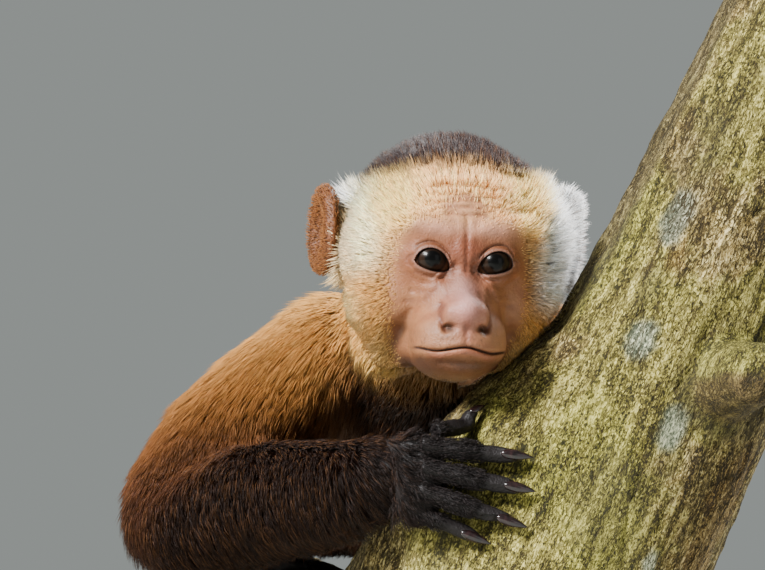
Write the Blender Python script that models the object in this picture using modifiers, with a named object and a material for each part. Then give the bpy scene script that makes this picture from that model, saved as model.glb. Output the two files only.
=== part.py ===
"""A life-size capuchin monkey resting on a cut length of forked tree, on a plain display stand.

The monkey crouches on the side limb, hugs the leaning trunk and rests its cheek on the bark.
Lengths below are in millimetres, measured from the middle of the braincase: x to the
monkey's left, y towards its tail, z up. frame_point() turns them into the part's own frame,
in metres, whose origin is the middle of the stand's underside.
"""

import math

import bmesh
import bpy
from mathutils import Euler, Matrix, Vector
from mathutils.bvhtree import BVHTree

MM = 0.001
GAP = 0.3 * MM
CUT_GAP = 0.35 * MM
MOST_SHELL = 2  # limits how far a sharp corner moves out when a cutter is grown
CAP_WELD = 0.01 * MM
CRUMB_WELD = 0.02 * MM
PLANE_WELD = 0.001 * MM
SHARP_ANGLE = math.radians(50)

# How finely each fused shape is made: voxel in millimetres, rounds of smoothing, triangles
WOOD_DETAIL = (4, 6, 640)
STUB_DETAIL = (2.5, 4, 100)
SKULL_DETAIL = (2, 8, 680)
BODY_DETAIL = (4, 8, 430)
NECK_DETAIL = (4, 4, 120)
ARM_DETAIL = (3.5, 5, 260)
PALM_DETAIL = (2.5, 4, 110)
THIGH_DETAIL = (4, 5, 130)
SHANK_DETAIL = (3.5, 5, 130)
FOOT_DETAIL = (2.5, 4, 130)
MASS_SEGMENTS = 24
EYE_SEGMENTS = 10
EAR_SEGMENTS = (12, 8)
ROD_SEGMENTS = 16
LIMB_STEPS = 4
TAIL_STEPS = 3

# Where the middle of the braincase is, above the middle of the stand's underside.
HEAD_CENTRE = Vector((-10, -110, 400)) * MM

# Stand
BASE_SIZE = (320, 400, 18)
BASE_CORNER = 40
BASE_EDGE = 3
BASE_CORNER_STEPS = 3
ROD_RADIUS = 7
ROD_IN_BASE = 10
ROD_IN_WOOD = 25
FRONT_ROD = (9, 8, -244)
REAR_ROD = (-55, 245, -190)

# Perch: x, y, z and radius along the wood's axis
TRUNK_AXIS = [(160, 5, 118, 42), (102, 5, 0, 44), (62, 5, -82, 49), (30, 6, -150, 52), (9, 8, -244, 52)]
LIMB_AXIS = [(72, 5, -40, 36), (28, 8, -92, 46), (-6, 35, -147, 45), (-34, 120, -160, 39),
             (-50, 200, -157, 37), (-60, 260, -153, 36), (-71, 316, -150, 34)]
STUB_AXIS = [(98, -12, -46, 16), (106, -38, -43, 15), (111, -51, -41, 13)]
FORK_PLANE = ((-10, 62, -150), (-0.35, 0.93, 0.1))

# Head, before it is turned: centre and radii of each mass, coat included
HEAD_SHIFT = (1.5, 0, 0)
HEAD_YAW = math.radians(8.5)
HEAD_ROLL = math.radians(3)
CRANIUM = ((0, 9, 8), (42, 46, 40))
FOREHEAD = ((0, -6, 6), (34, 32.5, 33))
TEMPLE = ((34, 4, 6), (13, 22, 20))
CHEEK = ((19, -10, -13), (21, 23, 23))
MIDFACE = ((0, -20, -15), (20, 24, 23))
BROW = ((12, -31, 12), (13, 10, 6))
MUZZLE = ((0, -32, -29), (19.5, 19.5, 14))
CHIN = ((0, -21, -37), (17, 23, 11))
MANDIBLE = ((17, 0, -24), (18, 25, 20))
NOSE = ((0, -44, -19), (7.5, 9, 7.5))
NOSE_BRIDGE = [(0, -34, 3, 6), (0, -46, -16, 6)]
MOUTH_PLANE = ((0, -40, -33), (0, -0.28, -0.96))
EYE = (11.7, -29, 0.5)
EYE_RADIUS = 8.5
EAR_CENTRE = (45.2, 15, 9.5)
EAR_RADII = (3.2, 12, 17)
EAR_FLARE = math.radians(38)
EAR_LEAN = math.radians(-12)
EAR_HOLLOW = 1.3

# Trunk of the body, coat included
CHEST = ((-10, 88, -46), (44, 56, 45))
RIBS = ((-24, 135, -60), (45, 56, 47))
BELLY = ((-38, 180, -72), (46, 54, 44))
HIPS = ((-52, 228, -80), (47, 50, 44))
RUMP = ((-62, 262, -84), (36, 34, 34))
SPINE_YAW = math.radians(14.5)
WAIST_PLANE = ((-26, 140, -60), (-0.25, 0.95, -0.15))
HIP_PLANE = ((-45, 202, -75), (-0.25, 0.96, -0.08))
NECK_AXIS = [(0, 22, -12, 36), (-3, 45, -26, 38), (-8, 72, -40, 38)]

# Arms: shoulder, mid upper arm, elbow, mid forearm, wrist
RIGHT_ARM = [(-40, 62, -37, 29), (-78, 49, -64, 27), (-98, 38, -96, 26), (-70, 14, -89, 24),
             (-44, -11, -85, 21), (-27, -22, -81, 18.5)]
LEFT_ARM = [(34, 74, -40, 28), (50, 95, -72, 24), (62, 113, -102, 21), (76, 92, -76, 18),
            (88, 70, -50, 13)]
RIGHT_ELBOW, LEFT_ELBOW = 2, 2

# Hands: the palm's masses, then root and tip of each digit as x, z on the bark, and its radius
RIGHT_PALM = [((-20, -27, -80), (12, 9, 16)), ((-11, -33, -79), (11, 8, 17))]
RIGHT_DIGITS = {
    "thumb": ((-4, -33, -62), (19, -14, -58), 3.3),
    "index_finger": ((-9, -38, -67), (32, -72), 3.5),
    "middle_finger": ((-9, -40, -75), (33, -84), 3.6),
    "ring_finger": ((-10, -40, -83), (30, -97), 3.5),
    "little_finger": ((-13, -37, -90), (17, -103), 3.1),
}
KNUCKLE_Y = -60

# A digit's girth at each joint and between them, as shares of its radius, and its height off the bark
DIGIT_SWELL = [1.08, 0.98, 1.12, 0.95, 1.02, 0.8, 0.42]
DIGIT_LIFT, TIP_LIFT = 1.05, 0.6
LEFT_PALM = [((92, 62, -40), (10, 8, 12)), ((101, 60, -22), (16, 8, 13))]
LEFT_DIGITS = {
    "thumb": ((94, 60, -30), (84, 52, -14), 3.3),
    "index_finger": ((92, 60, -14), (94, 58, 18), 3.5),
    "middle_finger": ((100, 60, -12), (112, 56, 20), 3.6),
    "ring_finger": ((108, 59, -15), (129, 47, 12), 3.5),
    "little_finger": ((115, 57, -22), (137, 40, -4), 3.1),
}

# Legs, from the middle of the hips: towards the head, out to the side, up, radius
LEG_ROOT = HIPS[0]
LEG_YAW = SPINE_YAW
THIGH = [(-12, 26, -8, 33), (36, 48, -2, 29), (76, 58, -4, 22)]
SHANK = [(76, 58, -4, 21), (40, 57, -26, 19), (2, 50, -48, 13)]
FOOT = [(-8, 47, -54, 10), (16, 45, -56, 9), (48, 41, -58, 10.5), (60, 40, -59, 9)]
TOES = {
    "big_toe": ((34, 34, -54), (54, 12, -38), 4),
    "second_toe": ((58, 32, -52), (86, 27, -48), 3.6),
    "third_toe": ((62, 36, -57), (92, 34, -56), 3.8),
    "fourth_toe": ((62, 41, -62), (90, 39, -66), 3.7),
    "little_toe": ((58, 45, -67), (82, 43, -76), 3.4),
}

# Tail, curled at the end
TAIL_AXIS = [(-64, 280, -84, 20), (-74, 312, -92, 16), (-84, 344, -112, 14.5), (-91, 360, -150, 14),
             (-96, 353, -200, 14), (-100, 326, -246, 13.5), (-104, 282, -274, 13),
             (-106, 236, -276, 12.5), (-108, 200, -252, 12), (-109, 192, -220, 11.5),
             (-110, 210, -197, 10.5), (-110, 232, -203, 8)]
TAIL_NAMES = ["tail_root", "tail_upper", "tail_middle", "tail_lower", "tail_curl", "tail_tip"]

COLOURS = {
    "coat_brown": ((0.24, 0.11, 0.05), 0.8),
    "coat_cream": ((0.76, 0.62, 0.42), 0.8),
    "coat_dark": ((0.035, 0.022, 0.02), 0.75),
    "face_skin": ((0.55, 0.34, 0.26), 0.5),
    "skin_black": ((0.02, 0.02, 0.022), 0.5),
    "ear_skin": ((0.36, 0.17, 0.1), 0.6),
    "eye_dark": ((0.02, 0.012, 0.008), 0.1),
    "bark": ((0.27, 0.24, 0.12), 0.9),
    "base_wood": ((0.12, 0.06, 0.03), 0.45),
    "rod_steel": ((0.5, 0.5, 0.52), 0.35),
}


def frame_point(x, y, z):
    """A place measured from the braincase in millimetres, in the part's frame."""
    return HEAD_CENTRE + Vector((x, y, z)) * MM


def clear_scene():
    for obj in list(bpy.data.objects):
        bpy.data.objects.remove(obj, do_unlink=True)


def make_materials():
    made = {}
    for name, (colour, roughness) in COLOURS.items():
        material = bpy.data.materials.new(name)
        material.use_nodes = True
        shader = material.node_tree.nodes["Principled BSDF"]
        shader.inputs["Base Color"].default_value = (*colour, 1)
        shader.inputs["Roughness"].default_value = roughness
        shader.inputs["Metallic"].default_value = 1.0 if name == "rod_steel" else 0.0
        made[name] = material
    return made


def object_from(mesh, name="working"):
    obj = bpy.data.objects.new(name, mesh)
    bpy.context.scene.collection.objects.link(obj)
    return obj


def mesh_of(bm):
    """A mesh of the bmesh's shape in triangles, facing out. The bmesh is freed."""
    bmesh.ops.triangulate(bm, faces=bm.faces)
    bmesh.ops.recalc_face_normals(bm, faces=bm.faces)
    mesh = bpy.data.meshes.new("working")
    bm.to_mesh(mesh)
    bm.free()
    return mesh


def taken_mesh(obj):
    """The object's mesh with its modifiers applied. The object is removed."""
    bpy.context.view_layer.update()
    graph = bpy.context.evaluated_depsgraph_get()
    mesh = bpy.data.meshes.new_from_object(obj.evaluated_get(graph))
    bpy.data.objects.remove(obj, do_unlink=True)
    return mesh


def ball(centre, radii, turn=(0, 0, 0), segments=MASS_SEGMENTS):
    """An ellipsoid, as a mesh."""
    bm = bmesh.new()
    bmesh.ops.create_uvsphere(bm, u_segments=segments, v_segments=segments * 2 // 3, radius=1)
    matrix = Matrix.Translation(frame_point(*centre)) @ Euler(turn).to_matrix().to_4x4()
    matrix = matrix @ Matrix.Diagonal((*(radius * MM for radius in radii), 1))
    bmesh.ops.transform(bm, matrix=matrix, verts=bm.verts)
    return mesh_of(bm)


def smooth_route(stations, steps):
    """Points with radii on a smooth curve through the stations, as 4D vectors."""
    points = [Vector(station) for station in stations]
    ends = [2 * points[0] - points[1], *points, 2 * points[-1] - points[-2]]
    route = []
    for a, b, c, d in zip(ends, ends[1:], ends[2:], ends[3:]):
        for step in range(steps):
            t = step / steps
            route.append(0.5 * (2 * b + (c - a) * t + (2 * a - 5 * b + 4 * c - d) * t ** 2
                                + (3 * b - a - 3 * c + d) * t ** 3))
    route.append(points[-1])
    return route


def tube(route, sides=2):
    """A capped tube through route's points in the frame, each with its radius, as a mesh."""
    curve = bpy.data.curves.new("tube", "CURVE")
    curve.dimensions = "3D"
    curve.bevel_depth = 1
    curve.bevel_resolution = sides
    curve.use_fill_caps = True
    spline = curve.splines.new("POLY")
    spline.points.add(len(route) - 1)
    for point, (place, radius) in zip(spline.points, route):
        point.co = (*place, 1)
        point.radius = radius
    bm = bmesh.new()
    bm.from_mesh(taken_mesh(object_from(curve)))
    bmesh.ops.remove_doubles(bm, verts=bm.verts, dist=CAP_WELD)
    return mesh_of(bm)


def limb(stations, steps=LIMB_STEPS, rounded=True):
    """Meshes of a tapering limb through the stations, with rounded ends."""
    route = smooth_route(stations, steps)
    made = [tube([(frame_point(*p[:3]), p[3] * MM) for p in route], sides=4)]
    if rounded:
        made += [ball(p[:3], [p[3]] * 3) for p in (stations[0], stations[-1])]
    return made


def fused(meshes, voxel, smoothing, triangles):
    """One closed smooth mesh of about so many triangles round the union of the meshes."""
    bm = bmesh.new()
    for mesh in meshes:
        bm.from_mesh(mesh)
    obj = object_from(mesh_of(bm))
    remesh = obj.modifiers.new("remesh", "REMESH")
    remesh.mode = "VOXEL"
    remesh.voxel_size = voxel * MM
    smooth = obj.modifiers.new("smooth", "SMOOTH")
    smooth.iterations = smoothing
    obj = object_from(taken_mesh(obj))
    decimate = obj.modifiers.new("decimate", "DECIMATE")
    decimate.ratio = min(1, triangles / (2 * len(obj.data.polygons)))
    decimate.use_collapse_triangulate = True
    return taken_mesh(obj)


def turned(mesh, matrix):
    mesh.transform(matrix)
    return mesh


def half(mesh, point, normal):
    """The part of a closed mesh on the side that the normal points to, closed again."""
    normal = Vector(normal).normalized()
    bm = bmesh.new()
    bm.from_mesh(mesh)
    cut = bmesh.ops.bisect_plane(bm, geom=[*bm.verts, *bm.edges, *bm.faces], dist=PLANE_WELD,
                                 plane_co=Vector(point) + normal * GAP / 2, plane_no=normal,
                                 clear_inner=True)
    rim = [item for item in cut["geom_cut"] if isinstance(item, bmesh.types.BMEdge)]
    bmesh.ops.edgenet_fill(bm, edges=rim)
    return mesh_of(bm)


def halves(mesh, point, normal):
    """Both sides of a thin plane cut, the one behind the normal first."""
    return half(mesh, point, -Vector(normal)), half(mesh, point, normal)


def grown(mesh):
    """The mesh pushed out by a little more than the gap that neighbours keep."""
    bm = bmesh.new()
    bm.from_mesh(mesh)
    bm.normal_update()
    moves = [vert.normal * CUT_GAP * min(MOST_SHELL, vert.calc_shell_factor()) for vert in bm.verts]
    for vert, move in zip(bm.verts, moves):
        vert.co += move
    return mesh_of(bm)


def mesh_box(mesh):
    low = Vector(map(min, *(vert.co for vert in mesh.vertices)))
    high = Vector(map(max, *(vert.co for vert in mesh.vertices)))
    return low, high


def boxes_meet(a, b):
    (a_low, a_high), (b_low, b_high) = mesh_box(a), mesh_box(b)
    return all(a_low[i] < b_high[i] + GAP and b_low[i] < a_high[i] + GAP for i in range(3))


def less(mesh, other):
    """The mesh with other cut away."""
    obj, cutter = object_from(mesh), object_from(other)
    cut = obj.modifiers.new("cut", "BOOLEAN")
    cut.operation = "DIFFERENCE"
    cut.solver = "EXACT"
    cut.object = cutter
    result = taken_mesh(obj)
    bpy.data.objects.remove(cutter, do_unlink=True)
    return result


def largest_piece(mesh):
    """The mesh without the crumbs that a cut leaves."""
    bm = bmesh.new()
    bm.from_mesh(mesh)
    bmesh.ops.remove_doubles(bm, verts=bm.verts, dist=CRUMB_WELD)
    left, pieces = set(bm.verts), []
    while left:
        piece, edge = set(), [next(iter(left))]
        while edge:
            vert = edge.pop()
            if vert not in piece:
                piece.add(vert)
                edge += [link.other_vert(vert) for link in vert.link_edges]
        left -= piece
        pieces.append(piece)
    kept = max(pieces, key=len)
    bmesh.ops.delete(bm, geom=[vert for vert in bm.verts if vert not in kept], context="VERTS")
    return mesh_of(bm)


class Model:
    """The finished nodes. Each new one is cut back from those that are already there."""

    def __init__(self):
        self.materials = make_materials()
        self.collection = bpy.data.collections.new("capuchin_monkey")
        bpy.context.scene.collection.children.link(self.collection)
        self.meshes = {}
        self.cutters = []

    def add(self, pieces, material, whole=None):
        """Adds nodes by name. Pieces of one shape, already parted by thin cuts, give the whole.

        material is one name for all the pieces, or a list with one for each.
        """
        finishes = [material] * len(pieces) if isinstance(material, str) else material
        whole = grown(whole or next(iter(pieces.values())))
        for (name, mesh), finish in zip(pieces.items(), finishes):
            for cutter in self.cutters:
                if boxes_meet(mesh, cutter):
                    mesh = less(mesh, cutter)
            mesh = largest_piece(mesh)
            mesh.name = name
            mesh.materials.clear()
            mesh.materials.append(self.materials[finish])
            mesh.shade_smooth()
            mesh.set_sharp_from_angle(angle=SHARP_ANGLE)
            self.collection.objects.link(bpy.data.objects.new(name, mesh))
            self.meshes[name] = mesh
        self.cutters.append(whole)

    def bark(self):
        """A search tree of the wood's surface, for what is laid on it."""
        bm = bmesh.new()
        for name in ("perch_trunk", "perch_limb"):
            bm.from_mesh(self.meshes[name])
        tree = BVHTree.FromBMesh(bm)
        bm.free()
        return tree


def rod(foot, top):
    """An upright round rod between two heights over one spot."""
    bm = bmesh.new()
    length = (top - foot).z
    bmesh.ops.create_cone(bm, cap_ends=True, segments=ROD_SEGMENTS, radius1=ROD_RADIUS * MM,
                          radius2=ROD_RADIUS * MM, depth=length,
                          matrix=Matrix.Translation((foot + top) / 2))
    return mesh_of(bm)


def add_stand(model):
    width, depth, thickness = (size * MM for size in BASE_SIZE)
    for name, top in (("stand_rod_front", FRONT_ROD), ("stand_rod_rear", REAR_ROD)):
        wood = frame_point(*top)
        foot = Vector((wood.x, wood.y, thickness - ROD_IN_BASE * MM))
        model.add({name: rod(foot, wood + Vector((0, 0, ROD_IN_WOOD * MM)))}, "rod_steel")
    bm = bmesh.new()
    bmesh.ops.create_cube(bm, size=1, matrix=Matrix.Translation((0, 0, thickness / 2))
                          @ Matrix.Diagonal((width, depth, thickness, 1)))
    upright = [edge for edge in bm.edges if abs(edge.verts[0].co.z - edge.verts[1].co.z) > thickness / 2]
    bmesh.ops.bevel(bm, geom=upright, offset=BASE_CORNER * MM, segments=BASE_CORNER_STEPS,
                      profile=0.5, affect="EDGES")
    rim = [edge for edge in bm.edges if min(vert.co.z for vert in edge.verts) > thickness - GAP]
    bmesh.ops.bevel(bm, geom=rim, offset=BASE_EDGE * MM, segments=1, profile=0.5, affect="EDGES")
    model.add({"stand_base": mesh_of(bm)}, "base_wood")


def add_perch(model):
    wood = fused(limb(TRUNK_AXIS, rounded=False) + limb(LIMB_AXIS, rounded=False), *WOOD_DETAIL)
    point, normal = FORK_PLANE
    trunk, side = halves(wood, frame_point(*point), normal)
    model.add({"perch_trunk": trunk, "perch_limb": side}, "bark", wood)
    model.add({"perch_stub": fused(limb(STUB_AXIS), *STUB_DETAIL)}, "bark")


def mirrored(mass):
    """A mass on the left side and its mirror image on the right."""
    (x, y, z), radii = mass
    return [((side * x, y, z), radii) for side in (1, -1)]


def head_turn():
    """The turn of the head on its own middle, which stands a little to one side."""
    turn = Euler((0, HEAD_ROLL, HEAD_YAW), "XYZ").to_matrix().to_4x4()
    return Matrix.Translation(frame_point(*HEAD_SHIFT)) @ turn @ Matrix.Translation(-HEAD_CENTRE)


def ear(side):
    """A cupped oval ear, its rim thicker than its hollow."""
    bm = bmesh.new()
    bmesh.ops.create_uvsphere(bm, u_segments=EAR_SEGMENTS[0], v_segments=EAR_SEGMENTS[1], radius=1)
    for vert in bm.verts:
        middle = max(0, 1 - vert.co.y ** 2 - vert.co.z ** 2)
        if vert.co.x > 0:
            vert.co.x *= 1 - EAR_HOLLOW * middle
    x, y, z = EAR_CENTRE
    matrix = Matrix.Translation(frame_point(x, y, z))
    matrix = matrix @ Euler((EAR_LEAN, 0, EAR_FLARE)).to_matrix().to_4x4()
    matrix = matrix @ Matrix.Diagonal((*(radius * MM for radius in EAR_RADII), 1))
    bmesh.ops.transform(bm, matrix=matrix, verts=bm.verts)
    if side < 0:
        mirror = Matrix.Translation(HEAD_CENTRE) @ Matrix.Diagonal((-1, 1, 1, 1))
        bmesh.ops.transform(bm, matrix=mirror @ Matrix.Translation(-HEAD_CENTRE), verts=bm.verts)
    return mesh_of(bm)


def add_head(model):
    turn = head_turn()
    for name, side in (("eye_right", -1), ("eye_left", 1)):
        x, y, z = EYE
        eye = ball((side * x, y, z), [EYE_RADIUS] * 3, segments=EYE_SEGMENTS)
        model.add({name: turned(eye, turn)}, "eye_dark")
    masses = [CRANIUM, FOREHEAD, MIDFACE, MUZZLE, CHIN, NOSE]
    for mass in (TEMPLE, CHEEK, BROW, MANDIBLE):
        masses += mirrored(mass)
    skull = fused([ball(*mass) for mass in masses] + limb(NOSE_BRIDGE), *SKULL_DETAIL)
    point, normal = MOUTH_PLANE
    head, jaw = (turned(part, turn) for part in halves(skull, frame_point(*point), normal))
    model.add({"head": head, "jaw": jaw}, ["coat_cream", "face_skin"], turned(skull, turn))
    for name, side in (("ear_right", -1), ("ear_left", 1)):
        model.add({name: turned(ear(side), turn)}, "ear_skin")


def add_body(model):
    yaw = (0, 0, SPINE_YAW)
    masses = [ball(centre, radii, yaw) for centre, radii in (CHEST, RIBS, BELLY, HIPS, RUMP)]
    body = fused(masses, *BODY_DETAIL)
    point, normal = WAIST_PLANE
    chest, rest = halves(body, frame_point(*point), normal)
    point, normal = HIP_PLANE
    belly, hips = halves(rest, frame_point(*point), normal)
    model.add({"chest": chest, "belly": belly, "hips": hips}, "coat_brown", body)
    model.add({"neck": fused(limb(NECK_AXIS), *NECK_DETAIL)}, "coat_brown")


def joint_plane(stations, index):
    """The plane that halves the bend at a station, with its normal down the limb."""
    before, here, after = (Vector(stations[index + i][:3]) for i in (-1, 0, 1))
    normal = (here - before).normalized() + (after - here).normalized()
    return frame_point(*here), normal


def digit_end(bark, place):
    """A digit's end. From x and z alone it is on the bark's front face behind them."""
    if len(place) == 3:
        return frame_point(*place)
    x, z = place
    return bark.ray_cast(frame_point(x, KNUCKLE_Y, z), Vector((0, 1, 0)))[0]


def above_bark(bark, point, height):
    """The point, moved out from the bark where it is less than that height above it."""
    place, normal, _, _ = bark.find_nearest(point)
    return point if (point - place).dot(normal) > height else place + normal * height


def digit(bark, root, tip, radius):
    """A finger or toe from root to tip along the bark, with knuckles and a narrow end."""
    route = []
    last = len(DIGIT_SWELL) - 1
    for i, share in enumerate(DIGIT_SWELL):
        place = root.lerp(tip, i / last)
        lift = radius * MM * (DIGIT_LIFT if i < last else TIP_LIFT) + GAP
        route.append((above_bark(bark, place, lift), radius * share * MM))
    return tube(route, sides=1)


def add_arm(model, side, stations, elbow, palm, digits):
    arm = fused(limb(stations), *ARM_DETAIL)
    upper, lower = halves(arm, *joint_plane(stations, elbow))
    model.add({f"upper_arm_{side}": upper, f"forearm_{side}": lower}, ["coat_brown", "coat_dark"], arm)
    model.add({f"hand_{side}": fused([ball(*mass) for mass in palm], *PALM_DETAIL)}, "skin_black")
    bark = model.bark()
    for name, (root, tip, radius) in digits.items():
        model.add({f"{name}_{side}": digit(bark, root, tip, radius)}, "skin_black")


def add_arms(model):
    bark = model.bark()
    right, left = ({name: (digit_end(bark, root), digit_end(bark, tip), radius)
                    for name, (root, tip, radius) in digits.items()}
                   for digits in (RIGHT_DIGITS, LEFT_DIGITS))
    add_arm(model, "right", RIGHT_ARM, RIGHT_ELBOW, RIGHT_PALM, right)
    add_arm(model, "left", LEFT_ARM, LEFT_ELBOW, LEFT_PALM, left)


def leg_point(ahead, out, up, side):
    """A place measured from the hips, as millimetres from the braincase."""
    forward = Vector((math.sin(LEG_YAW), -math.cos(LEG_YAW), 0))
    sideways = Vector((math.cos(LEG_YAW), math.sin(LEG_YAW), 0))
    return Vector(LEG_ROOT) + forward * ahead + sideways * out * side + Vector((0, 0, up))


def leg_stations(stations, side):
    return [(*leg_point(*station[:3], side), station[3]) for station in stations]


def add_leg(model, name, side):
    thigh = fused(limb(leg_stations(THIGH, side)), *THIGH_DETAIL)
    model.add({f"thigh_{name}": thigh}, "coat_brown")
    shank = fused(limb(leg_stations(SHANK, side)), *SHANK_DETAIL)
    model.add({f"shank_{name}": shank}, "coat_dark")
    foot = fused(limb(leg_stations(FOOT, side)), *FOOT_DETAIL)
    model.add({f"foot_{name}": foot}, "skin_black")
    bark = model.bark()
    for toe, (root, tip, radius) in TOES.items():
        ends = [frame_point(*leg_point(*end, side)) for end in (root, tip)]
        model.add({f"{toe}_{name}": digit(bark, *ends, radius)}, "skin_black")


def add_tail(model):
    route = [(frame_point(*p[:3]), p[3] * MM) for p in smooth_route(TAIL_AXIS, TAIL_STEPS)]
    ends = [round(i * (len(route) - 1) / len(TAIL_NAMES)) for i in range(len(TAIL_NAMES) + 1)]
    lengths = {}
    for name, start, end in zip(TAIL_NAMES, ends, ends[1:]):
        length = tube(route[max(0, start - 1):end + 2], sides=2)
        if start > 0:
            along = route[start + 1][0] - route[start - 1][0]
            length = half(length, route[start][0], along)
        if end < len(route) - 1:
            along = route[end + 1][0] - route[end - 1][0]
            length = half(length, route[end][0], -along)
        lengths[name] = length
    model.add(lengths, "coat_dark", tube(route, sides=2))


def main():
    clear_scene()
    model = Model()
    add_stand(model)
    add_perch(model)
    add_head(model)
    add_body(model)
    add_arms(model)
    for name, side in (("right", -1), ("left", 1)):
        add_leg(model, name, side)
    add_tail(model)


main()
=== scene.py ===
"""The look of a life-size capuchin monkey on a forked length of tree, held by a display stand.

One skin takes the place of the body's solids and lies inside them by the coat's depth. The coat
over it is solid tufts, each a bent spindle rooted in the skin. Lengths are in millimetres where
a name ends in _MM or a comment says so, and in metres otherwise.
"""

import math
from functools import partial

import bmesh
import bpy
import numpy as np
from mathutils import Matrix, Vector, noise
from mathutils.bvhtree import BVHTree
from mathutils.kdtree import KDTree


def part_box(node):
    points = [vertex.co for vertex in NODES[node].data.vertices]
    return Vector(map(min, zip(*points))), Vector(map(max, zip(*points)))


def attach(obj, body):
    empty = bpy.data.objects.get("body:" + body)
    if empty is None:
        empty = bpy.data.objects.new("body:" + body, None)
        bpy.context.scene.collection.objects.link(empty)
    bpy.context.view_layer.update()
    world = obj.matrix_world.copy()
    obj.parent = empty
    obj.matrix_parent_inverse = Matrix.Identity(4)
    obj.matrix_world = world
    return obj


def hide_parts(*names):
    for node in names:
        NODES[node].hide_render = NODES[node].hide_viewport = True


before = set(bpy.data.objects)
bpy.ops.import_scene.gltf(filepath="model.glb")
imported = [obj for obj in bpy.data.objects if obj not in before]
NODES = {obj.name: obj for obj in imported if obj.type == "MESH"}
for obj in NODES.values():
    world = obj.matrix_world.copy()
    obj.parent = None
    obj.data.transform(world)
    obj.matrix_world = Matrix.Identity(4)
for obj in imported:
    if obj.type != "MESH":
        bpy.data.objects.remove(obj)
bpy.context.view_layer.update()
MM = 0.001

SIDES = {"right": -1, "left": 1}
FINGERS = ["thumb", "index_finger", "middle_finger", "ring_finger", "little_finger"]
TOES = ["big_toe", "second_toe", "third_toe", "fourth_toe", "little_toe"]
TAIL = ["tail_root", "tail_upper", "tail_middle", "tail_lower", "tail_curl", "tail_tip"]
HEAD_NODES = ["head", "jaw", "ear_right", "ear_left"]
PERCH_NODES = ["perch_trunk", "perch_limb", "perch_stub"]

# ---------------------------------------------------------------- the head's own frame
# Millimetres from the middle of the braincase: x to the monkey's left, y back, z up.
EYE_MM = np.array([11.7, -29.0, 0.5])
EYEBALL_MM = 8.5


def head_frame():
    """The head's middle and its axes as rows, worked out from where the eyes are."""
    right, left = (sum(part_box(f"eye_{side}"), Vector()) / 2 for side in ("right", "left"))
    x_axis = (left - right).normalized()
    y_axis = Vector((0, 0, 1)).cross(x_axis).normalized()
    axes = np.array([x_axis, y_axis, x_axis.cross(y_axis)])
    middle = np.array((right + left) / 2) - MM * np.array([0, *EYE_MM[1:]]) @ axes
    return middle, axes


HEAD_MIDDLE, HEAD_AXES = head_frame()


def to_head(points):
    return (points - HEAD_MIDDLE) @ HEAD_AXES.T / MM


def from_head(points):
    return np.asarray(points) * MM @ HEAD_AXES + HEAD_MIDDLE


# ---------------------------------------------------------------- numbers and noise
def ramp(low, high, value):
    """0 below low and 1 above high, with a smooth rise between."""
    t = np.clip((value - low) / (high - low), 0, 1)
    return t * t * (3 - 2 * t)


def bell(offset, width=1.0):
    """1 where the offset is 0, falling away on both sides over about the width."""
    return np.exp(-(offset / width) ** 2)


def spot(x, z, middle, radii):
    """1 in the middle of an oval place seen from ahead, falling away over its radii."""
    return bell(np.hypot((x - middle[0]) / radii[0], (z - middle[1]) / radii[1]))


def unit(vectors):
    return vectors / np.maximum(np.linalg.norm(vectors, axis=-1, keepdims=True), 1e-12)


def linear(hex_colour):
    """An sRGB hex colour as linear red, green and blue."""
    parts = [int(hex_colour[i:i + 2], 16) / 255 for i in (0, 2, 4)]
    return [p / 12.92 if p <= 0.04045 else ((p + 0.055) / 1.055) ** 2.4 for p in parts]


def soft_noise(points, size, seed=0):
    """Smooth noise from -1 to 1 whose lumps are about size across, in the points' own unit."""
    shift = Vector((seed * 7.3, seed * 3.1, seed * 5.7))
    return np.array([noise.noise(Vector(point) / size + shift) for point in points])


# ---------------------------------------------------------------- meshes
def vectors_of(mesh, kind):
    vectors = np.empty(len(mesh.vertices) * 3, np.float32)
    mesh.vertices.foreach_get(kind, vectors)
    return vectors.reshape(-1, 3).astype(float)


def points_of(mesh):
    return vectors_of(mesh, "co")


def normals_of(mesh):
    return vectors_of(mesh, "normal")


def move_points(mesh, points):
    mesh.vertices.foreach_set("co", np.asarray(points, np.float32).ravel())
    mesh.update()


def set_colours(mesh, name, colours):
    layer = mesh.color_attributes.new(name, "FLOAT_COLOR", "POINT")
    full = np.ones((len(colours), 4), np.float32)
    full[:, :3] = colours
    layer.data.foreach_set("color", full.ravel())


def set_values(mesh, name, values):
    """Keeps a number or a vector for each point of the mesh."""
    kind, field = ("FLOAT", "value") if values.ndim == 1 else ("FLOAT_VECTOR", "vector")
    layer = mesh.attributes.new(name, kind, "POINT")
    layer.data.foreach_set(field, values.astype(np.float32).ravel())


def new_object(name, mesh, *materials, smooth=True):
    for made_of in materials:
        mesh.materials.append(made_of)
    obj = bpy.data.objects.new(name, mesh)
    bpy.context.scene.collection.objects.link(obj)
    if smooth:
        mesh.shade_smooth()
    return obj


def bm_of(*meshes):
    bm = bmesh.new()
    for mesh in meshes:
        bm.from_mesh(mesh)
    return bm


def ball(across, along):
    """A bmesh of a sphere of radius 1, from its faces round the middle and from pole to pole."""
    bm = bmesh.new()
    bmesh.ops.create_uvsphere(bm, u_segments=across, v_segments=along, radius=1)
    return bm


def mesh_from(bm, name="working"):
    bmesh.ops.recalc_face_normals(bm, faces=bm.faces)
    mesh = bpy.data.meshes.new(name)
    bm.to_mesh(mesh)
    bm.free()
    return mesh


def applied(obj):
    """The object's mesh with its modifiers applied. The object is removed."""
    graph = bpy.context.evaluated_depsgraph_get()
    mesh = bpy.data.meshes.new_from_object(obj.evaluated_get(graph))
    bpy.data.objects.remove(obj)
    return mesh


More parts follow.
